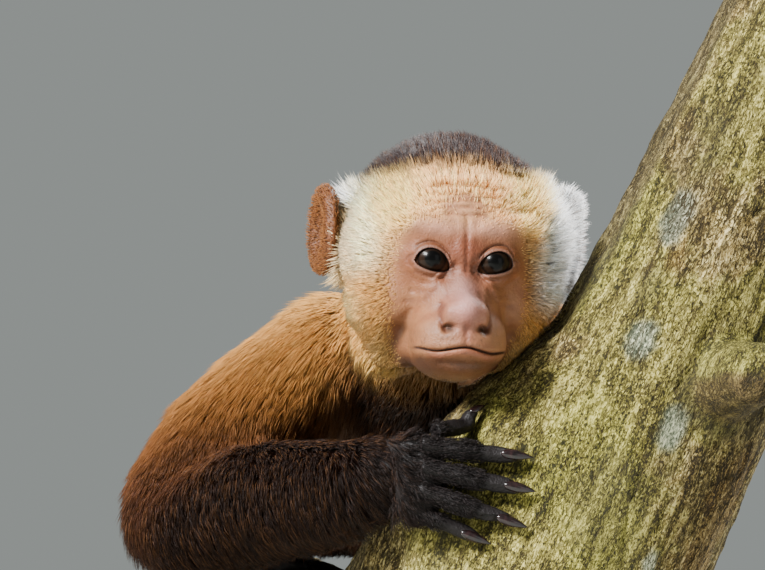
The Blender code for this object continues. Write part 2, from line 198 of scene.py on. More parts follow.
def fused(meshes, voxel_mm, smoothing):
    """One closed mesh round the union of the meshes, as quads about a voxel across."""
    obj = new_object("working", mesh_from(bm_of(*meshes)))
    remesh = obj.modifiers.new("remesh", "REMESH")
    remesh.mode = "VOXEL"
    remesh.voxel_size = voxel_mm * MM
    smooth = obj.modifiers.new("smooth", "SMOOTH")
    smooth.iterations = smoothing
    return applied(obj)


def united(mesh, others):
    """The union of closed meshes."""
    for other in others:
        obj, cutter = new_object("working", mesh), new_object("other", other)
        union = obj.modifiers.new("union", "BOOLEAN")
        union.operation = "UNION"
        union.solver = "MANIFOLD"
        union.object = cutter
        mesh = applied(obj)
        bpy.data.objects.remove(cutter)
    return mesh


def solid_copy(name, grow_mm):
    """A CAD node's mesh with its triangles joined up and pushed out a little."""
    bm = bm_of(NODES[name].data)
    bmesh.ops.remove_doubles(bm, verts=bm.verts, dist=0.005 * MM)
    bm.normal_update()
    moves = [vert.normal * grow_mm * MM for vert in bm.verts]
    for vert, move in zip(bm.verts, moves):
        vert.co += move
    return mesh_from(bm)


def largest_piece(mesh):
    """The mesh without any shut-in bubbles that a remesh leaves."""
    bm = bm_of(mesh)
    bm.verts.ensure_lookup_table()
    unseen, pieces = set(bm.verts), []
    while unseen:
        piece, front = set(), [unseen.pop()]
        while front:
            vert = front.pop()
            piece.add(vert)
            for edge in vert.link_edges:
                other = edge.other_vert(vert)
                if other in unseen:
                    unseen.discard(other)
                    front.append(other)
        pieces.append(piece)
    kept = max(pieces, key=len)
    bmesh.ops.delete(bm, geom=[vert for vert in bm.verts if vert not in kept], context="VERTS")
    return mesh_from(bm)


def tree_of(mesh):
    bm = bm_of(mesh)
    tree = BVHTree.FromBMesh(bm)
    bm.free()
    return tree


# ---------------------------------------------------------------- materials
def rgba(hex_colour):
    return (*linear(hex_colour), 1)


def per(size_mm):
    """A pattern's scale, from how many millimetres one of its lumps or cells is across."""
    return 1 / (size_mm * MM)


def wire(node, inputs):
    """Sets sockets of a node by name or number. A value that is a socket is linked."""
    for name, value in inputs.items():
        if isinstance(value, bpy.types.NodeSocket):
            node.id_data.links.new(value, node.inputs[name])
        else:
            node.inputs[name].default_value = value


def add(tree, kind, inputs=(), out=0, stops=(), **settings):
    """Adds a node and gives one of its outputs.

    inputs are its sockets' values by name, or in order, and stops a ramp's places and colours.
    """
    made = tree.nodes.new("ShaderNode" + kind)
    for name, value in settings.items():
        setattr(made, name, value)
    wire(made, inputs if isinstance(inputs, dict) else dict(enumerate(inputs)))
    if stops:
        elements = made.color_ramp.elements
        while len(elements) < len(stops):
            elements.new(0.5)
        for element, (place, colour) in zip(elements, stops):
            element.position = place
            element.color = rgba(colour)
    return made.outputs[out]


def finish(name, **constants):
    """Makes a maker of a material from the function that follows.

    The function is given add for its node tree, and gives what the shader's sockets take. The
    constants are set on the shader's own sockets.
    """
    def maker(look):
        def make():
            made = bpy.data.materials.new(name)
            made.use_nodes = True
            shader = made.node_tree.nodes["Principled BSDF"]
            wire(shader, {socket.replace("_", " "): value for socket, value in constants.items()})
            wire(shader, look(partial(add, made.node_tree)))
            return made
        return make
    return maker


@finish("bare_skin", Roughness=0.52, Subsurface_Weight=0.03, Subsurface_Scale=0.004,
        Specular_IOR_Level=0.4)
def bare_skin(add):
    """Living bare skin: soft, finely creased, with a little light passing through it."""
    place = add("TexCoord", out="Object")
    markings = add("Attribute", attribute_name="markings")
    mottle = add("TexNoise", {"Vector": place, "Scale": per(3), "Detail": 3})
    value = add("MapRange", {"Value": mottle, "To Min": 0.72, "To Max": 1.24})
    tint = add("VectorMath", (markings, value), operation="MULTIPLY")
    creases = add("TexNoise", {"Vector": place, "Scale": per(0.9), "Detail": 4,
                               "Distortion": 0.4})
    bump = add("Bump", {"Height": creases, "Distance": 0.4 * MM, "Strength": 0.8})
    return {"Base Color": tint, "Normal": bump}


@finish("skin_under_coat", Roughness=0.95, Specular_IOR_Level=0.04)
def haired_skin(add):
    """The dull skin under the coat, in the coat's colours, so no light shows between hairs."""
    place = add("TexCoord", out="Object")
    markings = add("Attribute", attribute_name="markings")
    nap = add("TexNoise", {"Vector": place, "Scale": per(1.2), "Detail": 3})
    bump = add("Bump", {"Height": nap, "Distance": 0.5 * MM, "Strength": 0.8})
    return {"Base Color": markings, "Normal": bump}


@finish("black_hand_skin", Roughness=0.55, Specular_IOR_Level=0.22)
def black_skin(add):
    """The pebbled black skin of hands and feet: close-set domed scales that glint softly."""
    place = add("TexCoord", out="Object")
    markings = add("Attribute", attribute_name="markings")
    pebbles = add("TexVoronoi", {"Vector": place, "Scale": per(0.8)})
    dome = add("Math", (1.0, pebbles), operation="SUBTRACT")
    domes = add("Bump", {"Height": dome, "Distance": 0.22 * MM, "Strength": 0.7})
    folds = add("TexNoise", {"Vector": place, "Scale": per(2.2), "Detail": 2})
    bump = add("Bump", {"Height": folds, "Distance": 0.6 * MM, "Strength": 0.5,
                        "Normal": domes})
    return {"Base Color": markings, "Normal": bump}


@finish("monkey_hair", Roughness=0.55, Specular_IOR_Level=0.2, Sheen_Weight=0.03,
        Sheen_Roughness=0.4)
def monkey_hair(add):
    """Monkey hair: each strand's colour is its own, with a satin streak of light along it."""
    return {"Base Color": add("Attribute", attribute_name="hair")}


@finish("wet_eye", Roughness=0.3, Coat_Weight=0.12, Coat_Roughness=0.03, Specular_IOR_Level=0.08)
def wet_eye(add):
    """A wet eye: near-black brown iris under a clear cornea, brown sclera at its corners."""
    angle = add("Attribute", out="Fac", attribute_name="from_pupil")
    rings = add("ValToRGB", (angle,), stops=[
        (0.0, "050505"), (0.30, "060505"), (0.34, "1c120c"), (0.52, "24170f"), (0.60, "0c0807"),
        (0.66, "3a2418"), (0.9, "5a3826")])
    place = add("TexCoord", out="Object")
    fibres = add("TexNoise", {"Vector": place, "Scale": per(0.7)})
    value = add("MapRange", {"Value": fibres, "To Min": 0.7, "To Max": 1.3})
    tint = add("VectorMath", (rings, value), operation="MULTIPLY")
    return {"Base Color": tint}


@finish("black_nail_horn", Roughness=0.2, Specular_IOR_Level=0.55)
def black_horn(add):
    """Nail horn: glossy black with faint cloudy growth marks."""
    place = add("TexCoord", out="Object")
    cloud = add("TexNoise", {"Vector": place, "Scale": per(1.5)})
    tint = add("ValToRGB", (cloud,), stops=[(0.3, "0d0809"), (0.7, "281819")])
    bump = add("Bump", {"Height": cloud, "Distance": 0.1 * MM, "Strength": 0.4})
    return {"Base Color": tint, "Normal": bump}


@finish("mossy_bark", Roughness=0.85, Specular_IOR_Level=0.25)
def mossy_bark(add):
    """Rainforest bark: tan grains parted by fine dark cracks, with moss and pale lichen on it."""
    along = add("Attribute", out="Vector", attribute_name="along_wood")
    growths = add("Attribute", attribute_name="growths")
    rot, moss, crust = (add("SeparateColor", (growths,), out=band)
                        for band in ("Red", "Green", "Blue"))
    # Everything wavers by about a millimetre, so that no line runs straight
    waver = add("TexNoise", {"Vector": along, "Scale": per(2.5), "Detail": 2}, out="Color")
    bent = add("VectorMath", (waver, (0.0012,) * 3), operation="MULTIPLY")
    place = add("VectorMath", (along, bent))
    drawn_out = add("VectorMath", (place, (1.0, 1.0, 0.34)), operation="MULTIPLY")
    streaked = add("VectorMath", (along, (1.0, 1.0, 0.2)), operation="MULTIPLY")
    grain, lines, broad, wide, streaks = (
        add("TexNoise", {"Vector": vector, "Scale": per(size_mm), "Detail": detail,
                         "Roughness": roughness})
        for vector, size_mm, detail, roughness in (
            (place, 0.5, 2, 0.7), (place, 1.5, 3, 0.6), (along, 5, 4, 0.5), (along, 30, 2, 0.5),
            (streaked, 4, 2, 0.5)))
    # Cracks run round long plates and along the middle values of a cloud
    cells = add("TexVoronoi", {"Vector": place, "Scale": per(0.6)}, out="Color")
    plates = add("TexVoronoi", {"Vector": drawn_out, "Scale": per(1.5)},
                 feature="DISTANCE_TO_EDGE")
    edges = add("Math", (lines, 0.5), operation="SUBTRACT")
    edges = add("Math", (edges,), operation="ABSOLUTE")
    plates, edges = (add("Math", (value, share), operation="MULTIPLY")
                     for value, share in ((plates, 0.4), (edges, 1.6)))
    parted = add("Math", (plates, edges), operation="MINIMUM")
    # One tone runs through all four colours, and growths and stains choose between them
    tone = -0.71
    for value, share in ((streaks, 0.9), (grain, 1.1),
                         (add("SeparateColor", (cells,)), 0.36)):
        tone = add("Math", (value, share, tone), operation="MULTIPLY_ADD")
    tan, olive, rotten, lichen = (add("ValToRGB", (tone,), stops=stops) for stops in (
        [(0.25, "2c210d"), (0.42, "6b5730"), (0.56, "9a8352"), (0.75, "cbb685")],
        [(0.25, "222208"), (0.42, "58541f"), (0.56, "8a8339"), (0.75, "bdb562")],
        [(0.25, "2c1809"), (0.45, "66431f"), (0.7, "9c7343")],
        [(0.25, "4f5848"), (0.48, "98a592"), (0.72, "d5dccb")]))
    shade = add("Attribute", out="Fac", attribute_name="weathering_and_shade")
    mossed, shaded = (add("Math", (value, share), operation="MULTIPLY")
                      for value, share in ((wide, 0.4), (shade, 0.62)))
    depth = add("MapRange", {"Value": parted, "From Min": 0.012, "From Max": 0.05,
                             "To Min": 1.0, "To Max": 0.0})
    where = add("MapRange", {"Value": broad, "From Min": 0.36, "From Max": 0.56,
                             "To Min": 0.0, "To Max": 1.0})
    filled = add("Math", (moss, -0.45, 1.0), operation="MULTIPLY_ADD")
    # Moss fills some of the cracks, and they stand together in places
    crack = depth
    for share in (where, filled):
        crack = add("Math", (crack, share), operation="MULTIPLY")
    # Moss, rot and lichen lie over the tan; then the darkening layer, which holds dark bands and
    # painted shade round and under the stub; the cracks come last
    colour = tan
    for share, above in ((mossed, olive), (moss, olive), (rot, rotten), (crust, lichen),
                         (shaded, rgba("332f20")), (crack, rgba("30260f"))):
        colour = add("Mix", {"Factor": share, "A": colour, "B": above}, out="Result",
                     data_type="RGBA")
    height = add("Math", (grain, 0.5, broad), operation="MULTIPLY_ADD")
    height = add("Math", (crack, -1.0, height), operation="MULTIPLY_ADD")
    bump = add("Bump", {"Height": height, "Distance": 0.9 * MM, "Strength": 0.9})
    return {"Base Color": colour, "Normal": bump}


@finish("sawn_end_grain", Roughness=0.8)
def sawn_wood(add):
    """A sawn end: pale wood with fine rings round its heart."""
    place = add("Attribute", out="Vector", attribute_name="along_wood")
    rings = add("TexWave", {"Vector": place, "Scale": per(16), "Distortion": 1.5,
                            "Detail": 2}, out="Fac", wave_type="RINGS", rings_direction="Z")
    tint = add("ValToRGB", (rings,), stops=[(0.0, "7a5530"), (0.4, "b08453"),
                                            (1.0, "c89f6c")])
    bump = add("Bump", {"Height": rings, "Distance": 0.2 * MM, "Strength": 0.4})
    return {"Base Color": tint, "Normal": bump}


@finish("stained_walnut", Roughness=0.38, Coat_Weight=0.25, Coat_Roughness=0.25)
def stained_wood(add):
    """Stained and waxed hardwood: dark brown, with grain along the base and a satin face."""
    place = add("TexCoord", out="Object")
    stretched = add("Mapping", {"Vector": place, "Scale": (14, 1, 6)})
    grain = add("TexNoise", {"Vector": stretched, "Scale": per(60), "Detail": 6,
                             "Roughness": 0.6, "Distortion": 0.6})
    tint = add("ValToRGB", (grain,), stops=[(0.32, "1e100a"), (0.5, "3d2415"),
                                            (0.7, "5b3821")])
    bump = add("Bump", {"Height": grain, "Distance": 0.15 * MM, "Strength": 0.35})
    return {"Base Color": tint, "Normal": bump}


@finish("brushed_steel", Metallic=1.0, Base_Color=rgba("b9babd"))
def brushed_steel(add):
    """Brushed steel rod: grey, with fine rings of brushing round it."""
    place = add("TexCoord", out="Object")
    stretched = add("Mapping", {"Vector": place, "Scale": (1, 1, 40)})
    brushing = add("TexNoise", {"Vector": stretched, "Scale": per(20)})
    value = add("MapRange", {"Value": brushing, "To Min": 0.26, "To Max": 0.42})
    return {"Roughness": value}


# ---------------------------------------------------------------- nearness to the body's parts
BODY = ["neck", "chest", "belly", "hips", *TAIL]
for side_name in SIDES:
    BODY += [f"{part}_{side_name}" for part in ("upper_arm", "forearm", "thigh", "shank")]
# Each palm's and sole's digits and side, and the size in millimetres of its mesh's faces
HANDS_AND_FEET = {
    "hand_right": (FINGERS, "right", 0.7),
    "hand_left": (FINGERS, "left", 1.4),
    "foot_right": (TOES, "right", 1.55),
    "foot_left": (TOES, "left", 1.55),
}
REACH = 0.03


def node_trees(names):
    return {name: tree_of(NODES[name].data) for name in names}


def chain_of(name):
    """The run of parts that a node belongs to, whose coats and skins grade into one another."""
    kind, _, side = name.rpartition("_")
    if kind in ("upper_arm", "forearm", "hand", *FINGERS):
        return f"arm {side}"
    if kind in ("thigh", "shank", "foot", *TOES):
        return f"leg {side}"
    if name.startswith("tail"):
        return "tail"
    return "head" if name.startswith(("head", "jaw", "ear")) else "torso"


def grades_into(name, other):
    chains = {chain_of(name), chain_of(other)}
    joined = all(part.startswith(("upper_arm", "thigh", "tail_root")) or chain_of(part) == "torso"
                 for part in (name, other))
    return len(chains) == 1 or joined or chains == {"head", "torso"}


def nearness(points, trees, softness_mm):
    """For each point a share for each named node, most for the nearest, which add up to 1.

    Only nodes that grade into the nearest one have a share, so a hand near the chest stays a hand.
    """
    distance = np.full((len(points), len(trees)), REACH)
    for column, (name, tree) in enumerate(trees.items()):
        low, high = (np.array(corner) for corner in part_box(name))
        near = np.flatnonzero(((points > low - REACH) & (points < high + REACH)).all(1))
        for row in near:
            found = tree.find_nearest(points[row], REACH)[3]
            if found is not None:
                distance[row, column] = found
    nearest = distance.min(1, keepdims=True)
    share = np.exp(-((distance - nearest) / (softness_mm * MM)) ** 2)
    allowed = np.array([[grades_into(name, other) for other in trees] for name in trees])
    share *= allowed[distance.argmin(1)]
    return share / share.sum(1, keepdims=True)


# ---------------------------------------------------------------- the head's form
# Centre and radii of each mass under the coat, in the head's millimetres
SKULL_MASSES = [
    ((0, 9, 7), (34.5, 43, 36.5)),
    ((0, -6, 5), (31.5, 31.5, 32.5)),
    ((0, -20, -14), (18.5, 22.5, 21)),
    ((0, -32, -28.5), (18.3, 18.5, 13.2)),
    ((0, -22, -34.5), (15.5, 21.5, 9.5)),
    ((0, -45.0, -18.5), (6.6, 8.6, 6.6)),
]
PAIRED_MASSES = [
    ((26, 0, 3), (12, 20, 17)),
    ((18.5, -20.5, 1), (9.5, 10.8, 13)),
    ((19, -9, -12), (17, 20, 19)),
    ((12, -28.5, 12), (12.5, 8.4, 5.8)),
    ((16, -2, -23), (14, 23, 17)),
    ((5.6, -44.5, -20.0), (3.4, 5.2, 4.2)),
]
NOSE_BRIDGE = [((0, -31.5 - 0.85 * step, 6 - 2.4 * step), (5.2 + 0.1 * step, 5.6, 4.0))
               for step in range(10)]
MASSES = SKULL_MASSES + NOSE_BRIDGE
for (mass_x, mass_y, mass_z), mass_radii in PAIRED_MASSES:
    MASSES += [((side * mass_x, mass_y, mass_z), mass_radii) for side in SIDES.values()]
BLEND_MM = 1.3
NECK_FADE_MM = (2.5, 5.0)
LONGEST_PULL_MM = 4


def head_field(points):
    """How far points of the head's millimetres lie outside the masses blended together."""
    total = np.zeros(len(points))
    for centre, radii in MASSES:
        scaled = (points - np.array(centre)) / np.array(radii)
        reach = np.maximum(np.linalg.norm(scaled, axis=1), 1e-6)
        slope = np.maximum(np.linalg.norm(scaled / np.array(radii), axis=1), 1e-6)
        total += np.exp(np.clip(-reach * (reach - 1) / slope / BLEND_MM, -60, 60))
    return -BLEND_MM * np.log(np.maximum(total, 1e-30))


def on_head(points, rounds=5):
    """Points near the head's form drawn onto it. Those of the neck stay."""
    points = points.copy()
    step = 0.05
    for _ in range(rounds):
        value = head_field(points)
        slope = np.stack([(head_field(points + step * axis) - value) / step
                          for axis in np.eye(3)], 1)
        slope /= np.maximum((slope ** 2).sum(1, keepdims=True), 0.05)
        hold = 1 - ramp(*NECK_FADE_MM, np.abs(value))
        pull = np.clip(value, -LONGEST_PULL_MM, LONGEST_PULL_MM) * hold
        points -= pull[:, None] * slope
    return points


def mass_mesh(centre, radii):
    """A mass of the head as a closed mesh, in the frame."""
    bm = ball(32, 20)
    turn = Matrix(HEAD_AXES.T.tolist()).to_4x4()
    size = Matrix.Diagonal((*(radius * MM for radius in radii), 1))
    place = Matrix.Translation(from_head([centre])[0])
    bmesh.ops.transform(bm, matrix=place @ turn @ size, verts=bm.verts)
    return mesh_from(bm)


# ---------------------------------------------------------------- features of the face
LID_MM = 1.0
SNAP_MM = 0.24
SOCKET_ZONE_MM = 17
SOCKET_FADE_MM = 4
SOCKET_RIM_MM = 7.5
CORNER_U_MM = 6.5
INNER_V_MM, OUTER_V_MM = -3.1, -0.9
UPPER_ARCH_MM, LOWER_ARCH_MM = 5.9, 2.5
BEHIND_PUPIL_MM = 1.4
# The socket's bottom lies this far in front of the lids' sphere and slopes up this steeply
SOCKET_GAP_MM, SOCKET_SLOPE, SOCKET_ROUNDING = 0.3, 0.9, 1.2
# How far the surround of an eye is smoothed, and how many times
SOCKET_SOFTENING, SOCKET_ROUNDS = 0.7, 14
MOUTH_HALF_MM = 17.0


def opening(u, v):
    """How far a place in front of an eyeball is inside its lids' opening, in millimetres.

    u runs outwards from the eye's middle and v up.
    """
    t = np.clip(u / CORNER_U_MM, -1, 1)
    between = (INNER_V_MM + OUTER_V_MM) / 2 + t * (OUTER_V_MM - INNER_V_MM) / 2
    arch = np.sqrt(np.maximum(1 - t ** 2, 0))
    upper = between + UPPER_ARCH_MM * arch ** 1.15
    lower = between - LOWER_ARCH_MM * arch
    inside = np.minimum(upper - v, v - lower) * np.clip(0.55 + 0.45 * arch, 0, 1)
    past = np.hypot(np.maximum(np.abs(u) - CORNER_U_MM, 0), v - between)
    return np.where(np.abs(u) < CORNER_U_MM, inside, -past)


def eye_places(points):
    """For each side: rows in front of that eye, with u, v and depth measured from its middle."""
    for side in SIDES.values():
        offset = points - EYE_MM * np.array([side, 1, 1])
        u, v = offset[:, 0] * side, offset[:, 2]
        rows = np.flatnonzero((np.hypot(u, v) < SOCKET_ZONE_MM) & (offset[:, 1] < 3))
        yield rows, u[rows], v[rows], offset[rows, 1]


def snap_to_lids(points):
    """Slides the skin's points beside the lids' opening along to its edge, for a clean lid."""
    step = 0.02
    for _ in range(2):
        for side, (rows, u, v, _) in zip(SIDES.values(), list(eye_places(points))):
            inside = opening(u, v)
            slope_u = (opening(u + step, v) - inside) / step
            slope_v = (opening(u, v + step) - inside) / step
            size = np.maximum(slope_u ** 2 + slope_v ** 2, 0.2)
            shift = np.where(np.abs(inside) < SNAP_MM, -inside / size, 0)
            points[rows, 0] += shift * slope_u * side
            points[rows, 2] += shift * slope_v


def set_lids(points):
    """Draws the skin over each eyeball as lids, and behind it inside their opening."""
    for rows, u, v, depth in eye_places(points):
        inside = opening(u, v)
        away = np.maximum(-inside, 0)
        reach = np.hypot(u, v)
        over = (EYEBALL_MM + LID_MM) ** 2
        lid = -np.sqrt(np.maximum(over - reach ** 2, 0.0))
        limit = -np.sqrt(over - np.minimum(reach, SOCKET_RIM_MM) ** 2)
        furthest = limit - SOCKET_GAP_MM - SOCKET_SLOPE * away
        rounding = np.sqrt((depth - furthest) ** 2 + SOCKET_ROUNDING)
        face = (depth + furthest + rounding) / 2
        covered = np.where(reach < EYEBALL_MM + 2.0, np.minimum(face, lid), face)
        behind = -np.sqrt(np.maximum((EYEBALL_MM - BEHIND_PUPIL_MM) ** 2 - reach ** 2, 1.0))
        new = np.where(inside > 0.02, np.maximum(behind, covered + 1.0), covered)
        fade = 1 - ramp(SOCKET_ZONE_MM - SOCKET_FADE_MM, SOCKET_ZONE_MM, reach)
        points[rows, 1] += (new - depth) * fade


def lid_folds(points):
    """The crease over each upper lid and the soft roll along each lower one."""
    for rows, u, v, _ in eye_places(points):
        inside = opening(u, v)
        upper = ramp(-1.5, 0.5, v)
        lower = 1 - upper
        points[rows, 1] += (0.9 * upper * bell(inside + 2.1, 0.5)
                            - 0.2 * upper * bell(inside + 1.0, 0.6))
        points[rows, 1] += (0.5 * lower * bell(inside + 2.2, 0.55)
                            - 0.15 * lower * bell(inside + 1.0, 0.7))


def off_the_lids(points):
    """How much a place of an eye's surround may be smoothed: not at all at the lids themselves."""
    share = np.zeros(len(points))
    for rows, u, v, _ in eye_places(points):
        smoothed = ramp(-1.6, -3.2, opening(u, v)) * ramp(17, 14, np.hypot(u, v))
        share[rows] = np.maximum(share[rows], smoothed)
    return share


def line_distance(points, path):
    """The distance of points from a line of straight lengths."""
    nearest = np.full(len(points), 1e9)
    for start, end in zip(path, path[1:]):
        start, end = np.array(start, float), np.array(end, float)
        along = end - start
        t = np.clip((points - start) @ along / (along @ along), 0, 1)
        away = np.linalg.norm(points - start - t[:, None] * along, axis=1)
        nearest = np.minimum(nearest, away)
    return nearest


# How far back a line over the face reaches: it fades between these depths
FRONT_MM = (-18, -26)
HOLLOW_FRONT_MM = (-4, -14)


def line_share(points, path, width, side=1, front=FRONT_MM):
    """How near the face's points are to a line of x and z over its front, seen from ahead."""
    flat = points * np.array([side, 0, 1])
    share = bell(line_distance(flat, [(x, 0, z) for x, z in path]), width)
    return share * ramp(*front, points[:, 1])


def groove(points, path, width, push, sides=(1, -1), front=FRONT_MM):
    """Pushes the skin along a line of x and z, and along its mirror image."""
    for side in sides:
        share = line_share(points, path, width, side, front)
        points += share[:, None] * np.array(push) * np.array([side, 1, 1])


def dab(points, centre, radii, push, sides=(1, -1)):
    """Pushes the skin round a place, and round its mirror image."""
    for side in sides:
        flip = np.array([side, 1, 1])
        share = np.exp(-(((points - np.array(centre) * flip) / np.array(radii)) ** 2).sum(1))
        points += share[:, None] * np.array(push) * flip


def wrinkle(points, path):
    """Sinks a fine line of the forehead, which ends before the temples."""
    share = line_share(points, path, 0.7) * ramp(16, 10, np.abs(points[:, 0]))
    points[:, 1] += 0.9 * share


ALAR_CREASE = [(8.4, -16), (9.3, -19.5), (8.8, -23), (7.6, -25.5)]
NOSE_SIDE = [(3.2, -2), (4.4, -7), (6.4, -12)]
MUZZLE_HOLLOW = [(21.0, -26), (22.4, -33), (21.4, -40)]
UNDER_EYE_FOLDS = [
    [(6.5, -4.6), (10.5, -8.6), (16, -8.4), (20, -5)],
    [(7.0, -7.5), (12, -11.8), (18, -11.5)],
    [(9.0, -10.5), (14, -15.0), (20, -15.5)],
]
BROW_WRINKLES = [
    [(x, height + 1.3 * math.cos(x / 8) + 0.4 * math.sin(x * 0.6 + height))
     for x in range(-14, 15, 2)]
    for height in (16.2, 18.8, 21.6, 24.6)
]
MIDDLE = (1,)
# The face's features in the order they are worked. A groove has its line's points of x and z and
# its width, a dab its centre and radii, and then each has the way its middle moves
FEATURES = [
    *((groove, path, 0.8, (0, 0.6, 0)) for path in UNDER_EYE_FOLDS),
    (groove, MUZZLE_HOLLOW, 3.4, (-1.4, 4.0, 0), (1, -1), HOLLOW_FRONT_MM),
    (groove, [(9.5, -13), (15.5, -17.5), (18.5, -21)], 1.8, (0, 1.0, 0.2)),
    (dab, (0, -41, -40.5), (7, 5, 3.5), (0, -1.0, -0.4), MIDDLE),
    (groove, [(-8, -37.2), (8, -37.2)], 1.0, (0, 0.6, 0), MIDDLE),
    (dab, (6.0, -49.5, -24.3), (1.9, 4.0, 1.25), (0.4, 4.2, 0.8)),
    (dab, (6.4, -46.0, -18.6), (2.6, 4.0, 2.8), (0.7, -1.2, 0.1)),
    (groove, ALAR_CREASE, 1.1, (-0.4, 1.5, 0)),
    (dab, (0, -52, -24.8), (1.1, 4, 1.6), (0, 0.9, 0), MIDDLE),
    (groove, [(0, -26.5), (0, -30)], 0.9, (0, 0.45, 0), MIDDLE),
    (groove, NOSE_SIDE, 2.6, (0, 0.5, 0)),
    *((wrinkle, path) for path in BROW_WRINKLES),
    (groove, [(0.6, 17), (0.5, 5), (0.6, -4)], 0.8, (0, 0.9, 0), MIDDLE),
    (groove, [(4.4, 6), (4.0, 12), (5.0, 17)], 1.2, (0, 0.3, 0)),
    (groove, [(4.5, 11), (12, 15.0), (20, 13.5)], 2.2, (0, -0.6, 0)),
    (groove, [(-4.2, -1.4), (4.2, -1.4)], 0.4, (0, 0.35, 0), MIDDLE),
    (groove, [(-4.2, -3.6), (4.2, -3.6)], 0.4, (0, 0.35, 0), MIDDLE),
]


def mouth_height(x):
    """The mouth line's height: a slight bow in the middle and a dip on either side of it."""
    return -32.2 - 0.8 * bell(np.abs(x) - 10.5, 4.0) + 1.0 * bell(x, 4.5)


def shape_mouth(points):
    """Parts the lips along their line and rounds them above and below it."""
    front = ramp(-24, -32, points[:, 1])
    within = 1 - ramp(MOUTH_HALF_MM - 1.5, MOUTH_HALF_MM + 0.8, np.abs(points[:, 0]))
    above = points[:, 2] - mouth_height(points[:, 0])
    share = front * within
    points[:, 1] += share * (2.0 * bell(above, 0.55) - 0.55 * bell(above - 1.7, 1.1)
                             - 0.75 * bell(above + 1.9, 1.3))
    points[:, 2] += share * (0.25 * bell(above + 1.0, 0.6) - 0.25 * bell(above - 0.9, 0.6))


def relaxed(points, mesh, share, rounds):
    """Points drawn towards the mean of their neighbours, each by its share."""
    ends = np.empty(len(mesh.edges) * 2, np.int32)
    mesh.edges.foreach_get("vertices", ends)
    first, second = ends.reshape(-1, 2).T
    links = np.bincount(ends, minlength=len(points))[:, None]
    for _ in range(rounds):
        total = np.zeros_like(points)
        np.add.at(total, first, points[second])
        np.add.at(total, second, points[first])
        points = points + (total / links - points) * share[:, None]
    return points


def shape_face(mesh):
    """The folds and features of the face."""
    points = to_head(points_of(mesh))
    snap_to_lids(points)
    set_lids(points)
    points = relaxed(points, mesh, SOCKET_SOFTENING * off_the_lids(points), SOCKET_ROUNDS)
    for work, *how in FEATURES:
        work(points, *how)
    shape_mouth(points)
    lid_folds(points)
    move_points(mesh, from_head(points))


# ---------------------------------------------------------------- the skin
# The coat's depth over the skin, in millimetres: how far the flesh lies inside the solids
COAT_DEPTH = {
    "head": 9.5, "jaw": 8.0, "neck": 5.5, "chest": 5.5, "belly": 5.0, "hips": 5.5,
    "upper_arm": 5.5, "forearm": 4.5, "thigh": 5.0, "shank": 4.0, "tail": 4.2, "hand": 3.0,
    "foot": 3.0,
}
SKIN_VOXEL_MM = 2.2
HEAD_VOXEL_MM = 1.8
EAR_VOXEL_MM = 0.8
# Solids grow by this before they are fused, so that touching ones join
BODY_GROW_MM, HAND_GROW_MM, HAND_DRAWN_IN_MM = 0.5, 0.45, 0.35
BODY_SMOOTHING, HAND_SMOOTHING, HEAD_SMOOTHING, EAR_SMOOTHING = 14, 7, 2, 3
DEPTH_BLEND_MM = 6
DRAWN_IN_ROUNDS = 3


def middle_of(name):
    return np.array(sum(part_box(name), Vector()) / 2)


def part_value(table, name):
    """The value for a node in a table whose keys are node names without their side or number."""
    return next(table[key] for key in table if name.startswith(key))


def flesh_core():
    """The body without its coat: the solids fused and drawn in by the coat's depth."""
    names = ["head", "jaw", *HANDS_AND_FEET, *BODY]
    solids = [solid_copy(name, BODY_GROW_MM) for name in names]
    mesh = largest_piece(fused(solids, SKIN_VOXEL_MM, BODY_SMOOTHING))
    shares = nearness(points_of(mesh), node_trees(names), DEPTH_BLEND_MM)
    depth = shares @ np.array([part_value(COAT_DEPTH, name) for name in names])
    for _ in range(DRAWN_IN_ROUNDS):
        inwards = normals_of(mesh) * depth[:, None] / DRAWN_IN_ROUNDS * MM
        move_points(mesh, points_of(mesh) - inwards)
        bm = bm_of(mesh)
        bmesh.ops.smooth_vert(bm, verts=bm.verts, factor=0.5, use_axis_x=True, use_axis_y=True,
                              use_axis_z=True)
        bm.to_mesh(mesh)
        bm.free()
    return mesh


def hand_or_foot(name, digits, side, voxel_mm):
    """A hand or foot with its digits, as one closed mesh."""
    names = [name] + [f"{digit}_{side}" for digit in digits]
    solids = [solid_copy(part, HAND_GROW_MM) for part in names]
    mesh = largest_piece(fused(solids, voxel_mm, HAND_SMOOTHING))
    move_points(mesh, points_of(mesh) - normals_of(mesh) * HAND_DRAWN_IN_MM * MM)
    return mesh


EAR_MM = np.array([45.0, 15.0, 9.5])
EAR_TURN = 0.22
EAR_RADII_MM = np.array([3.0, 11.6, 16.6])
EAR_STALK = ((38, 12, 4), (10, 7, 11))


def ear(side):
    """An ear: a thin shell with a rolled rim round its hollow, on a stalk from the skull."""
    centre = EAR_MM * [side, 1, 1]
    (stalk_x, *stalk_yz), stalk_radii = EAR_STALK
    stalk = mass_mesh((side * stalk_x, *stalk_yz), stalk_radii)
    mesh = fused([mass_mesh(centre, EAR_RADII_MM), stalk], EAR_VOXEL_MM, EAR_SMOOTHING)
    points = to_head(points_of(mesh))
    across = (points - centre) / EAR_RADII_MM
    reach = np.hypot(across[:, 1] - 0.12, across[:, 2] - 0.02)
    outer = ramp(-0.2, 0.5, across[:, 0] * side)
    rim, hollow = bell(reach - 0.86, 0.16), 1 - ramp(0.3, 0.8, reach)
    points[:, 0] += side * outer * (0.9 * rim - 3.6 * hollow)
    inner_fold = np.abs(np.hypot(across[:, 1] - 0.45, across[:, 2] + 0.05) - 0.72)
    points[:, 0] += side * outer * 1.1 * bell(inner_fold, 0.1) * ramp(0.1, -0.3, across[:, 1])
    turn = np.array(Matrix.Rotation(-side * EAR_TURN, 3, "Z"))
    points = (points - centre) @ turn.T + centre
    move_points(mesh, from_head(points))
    return mesh


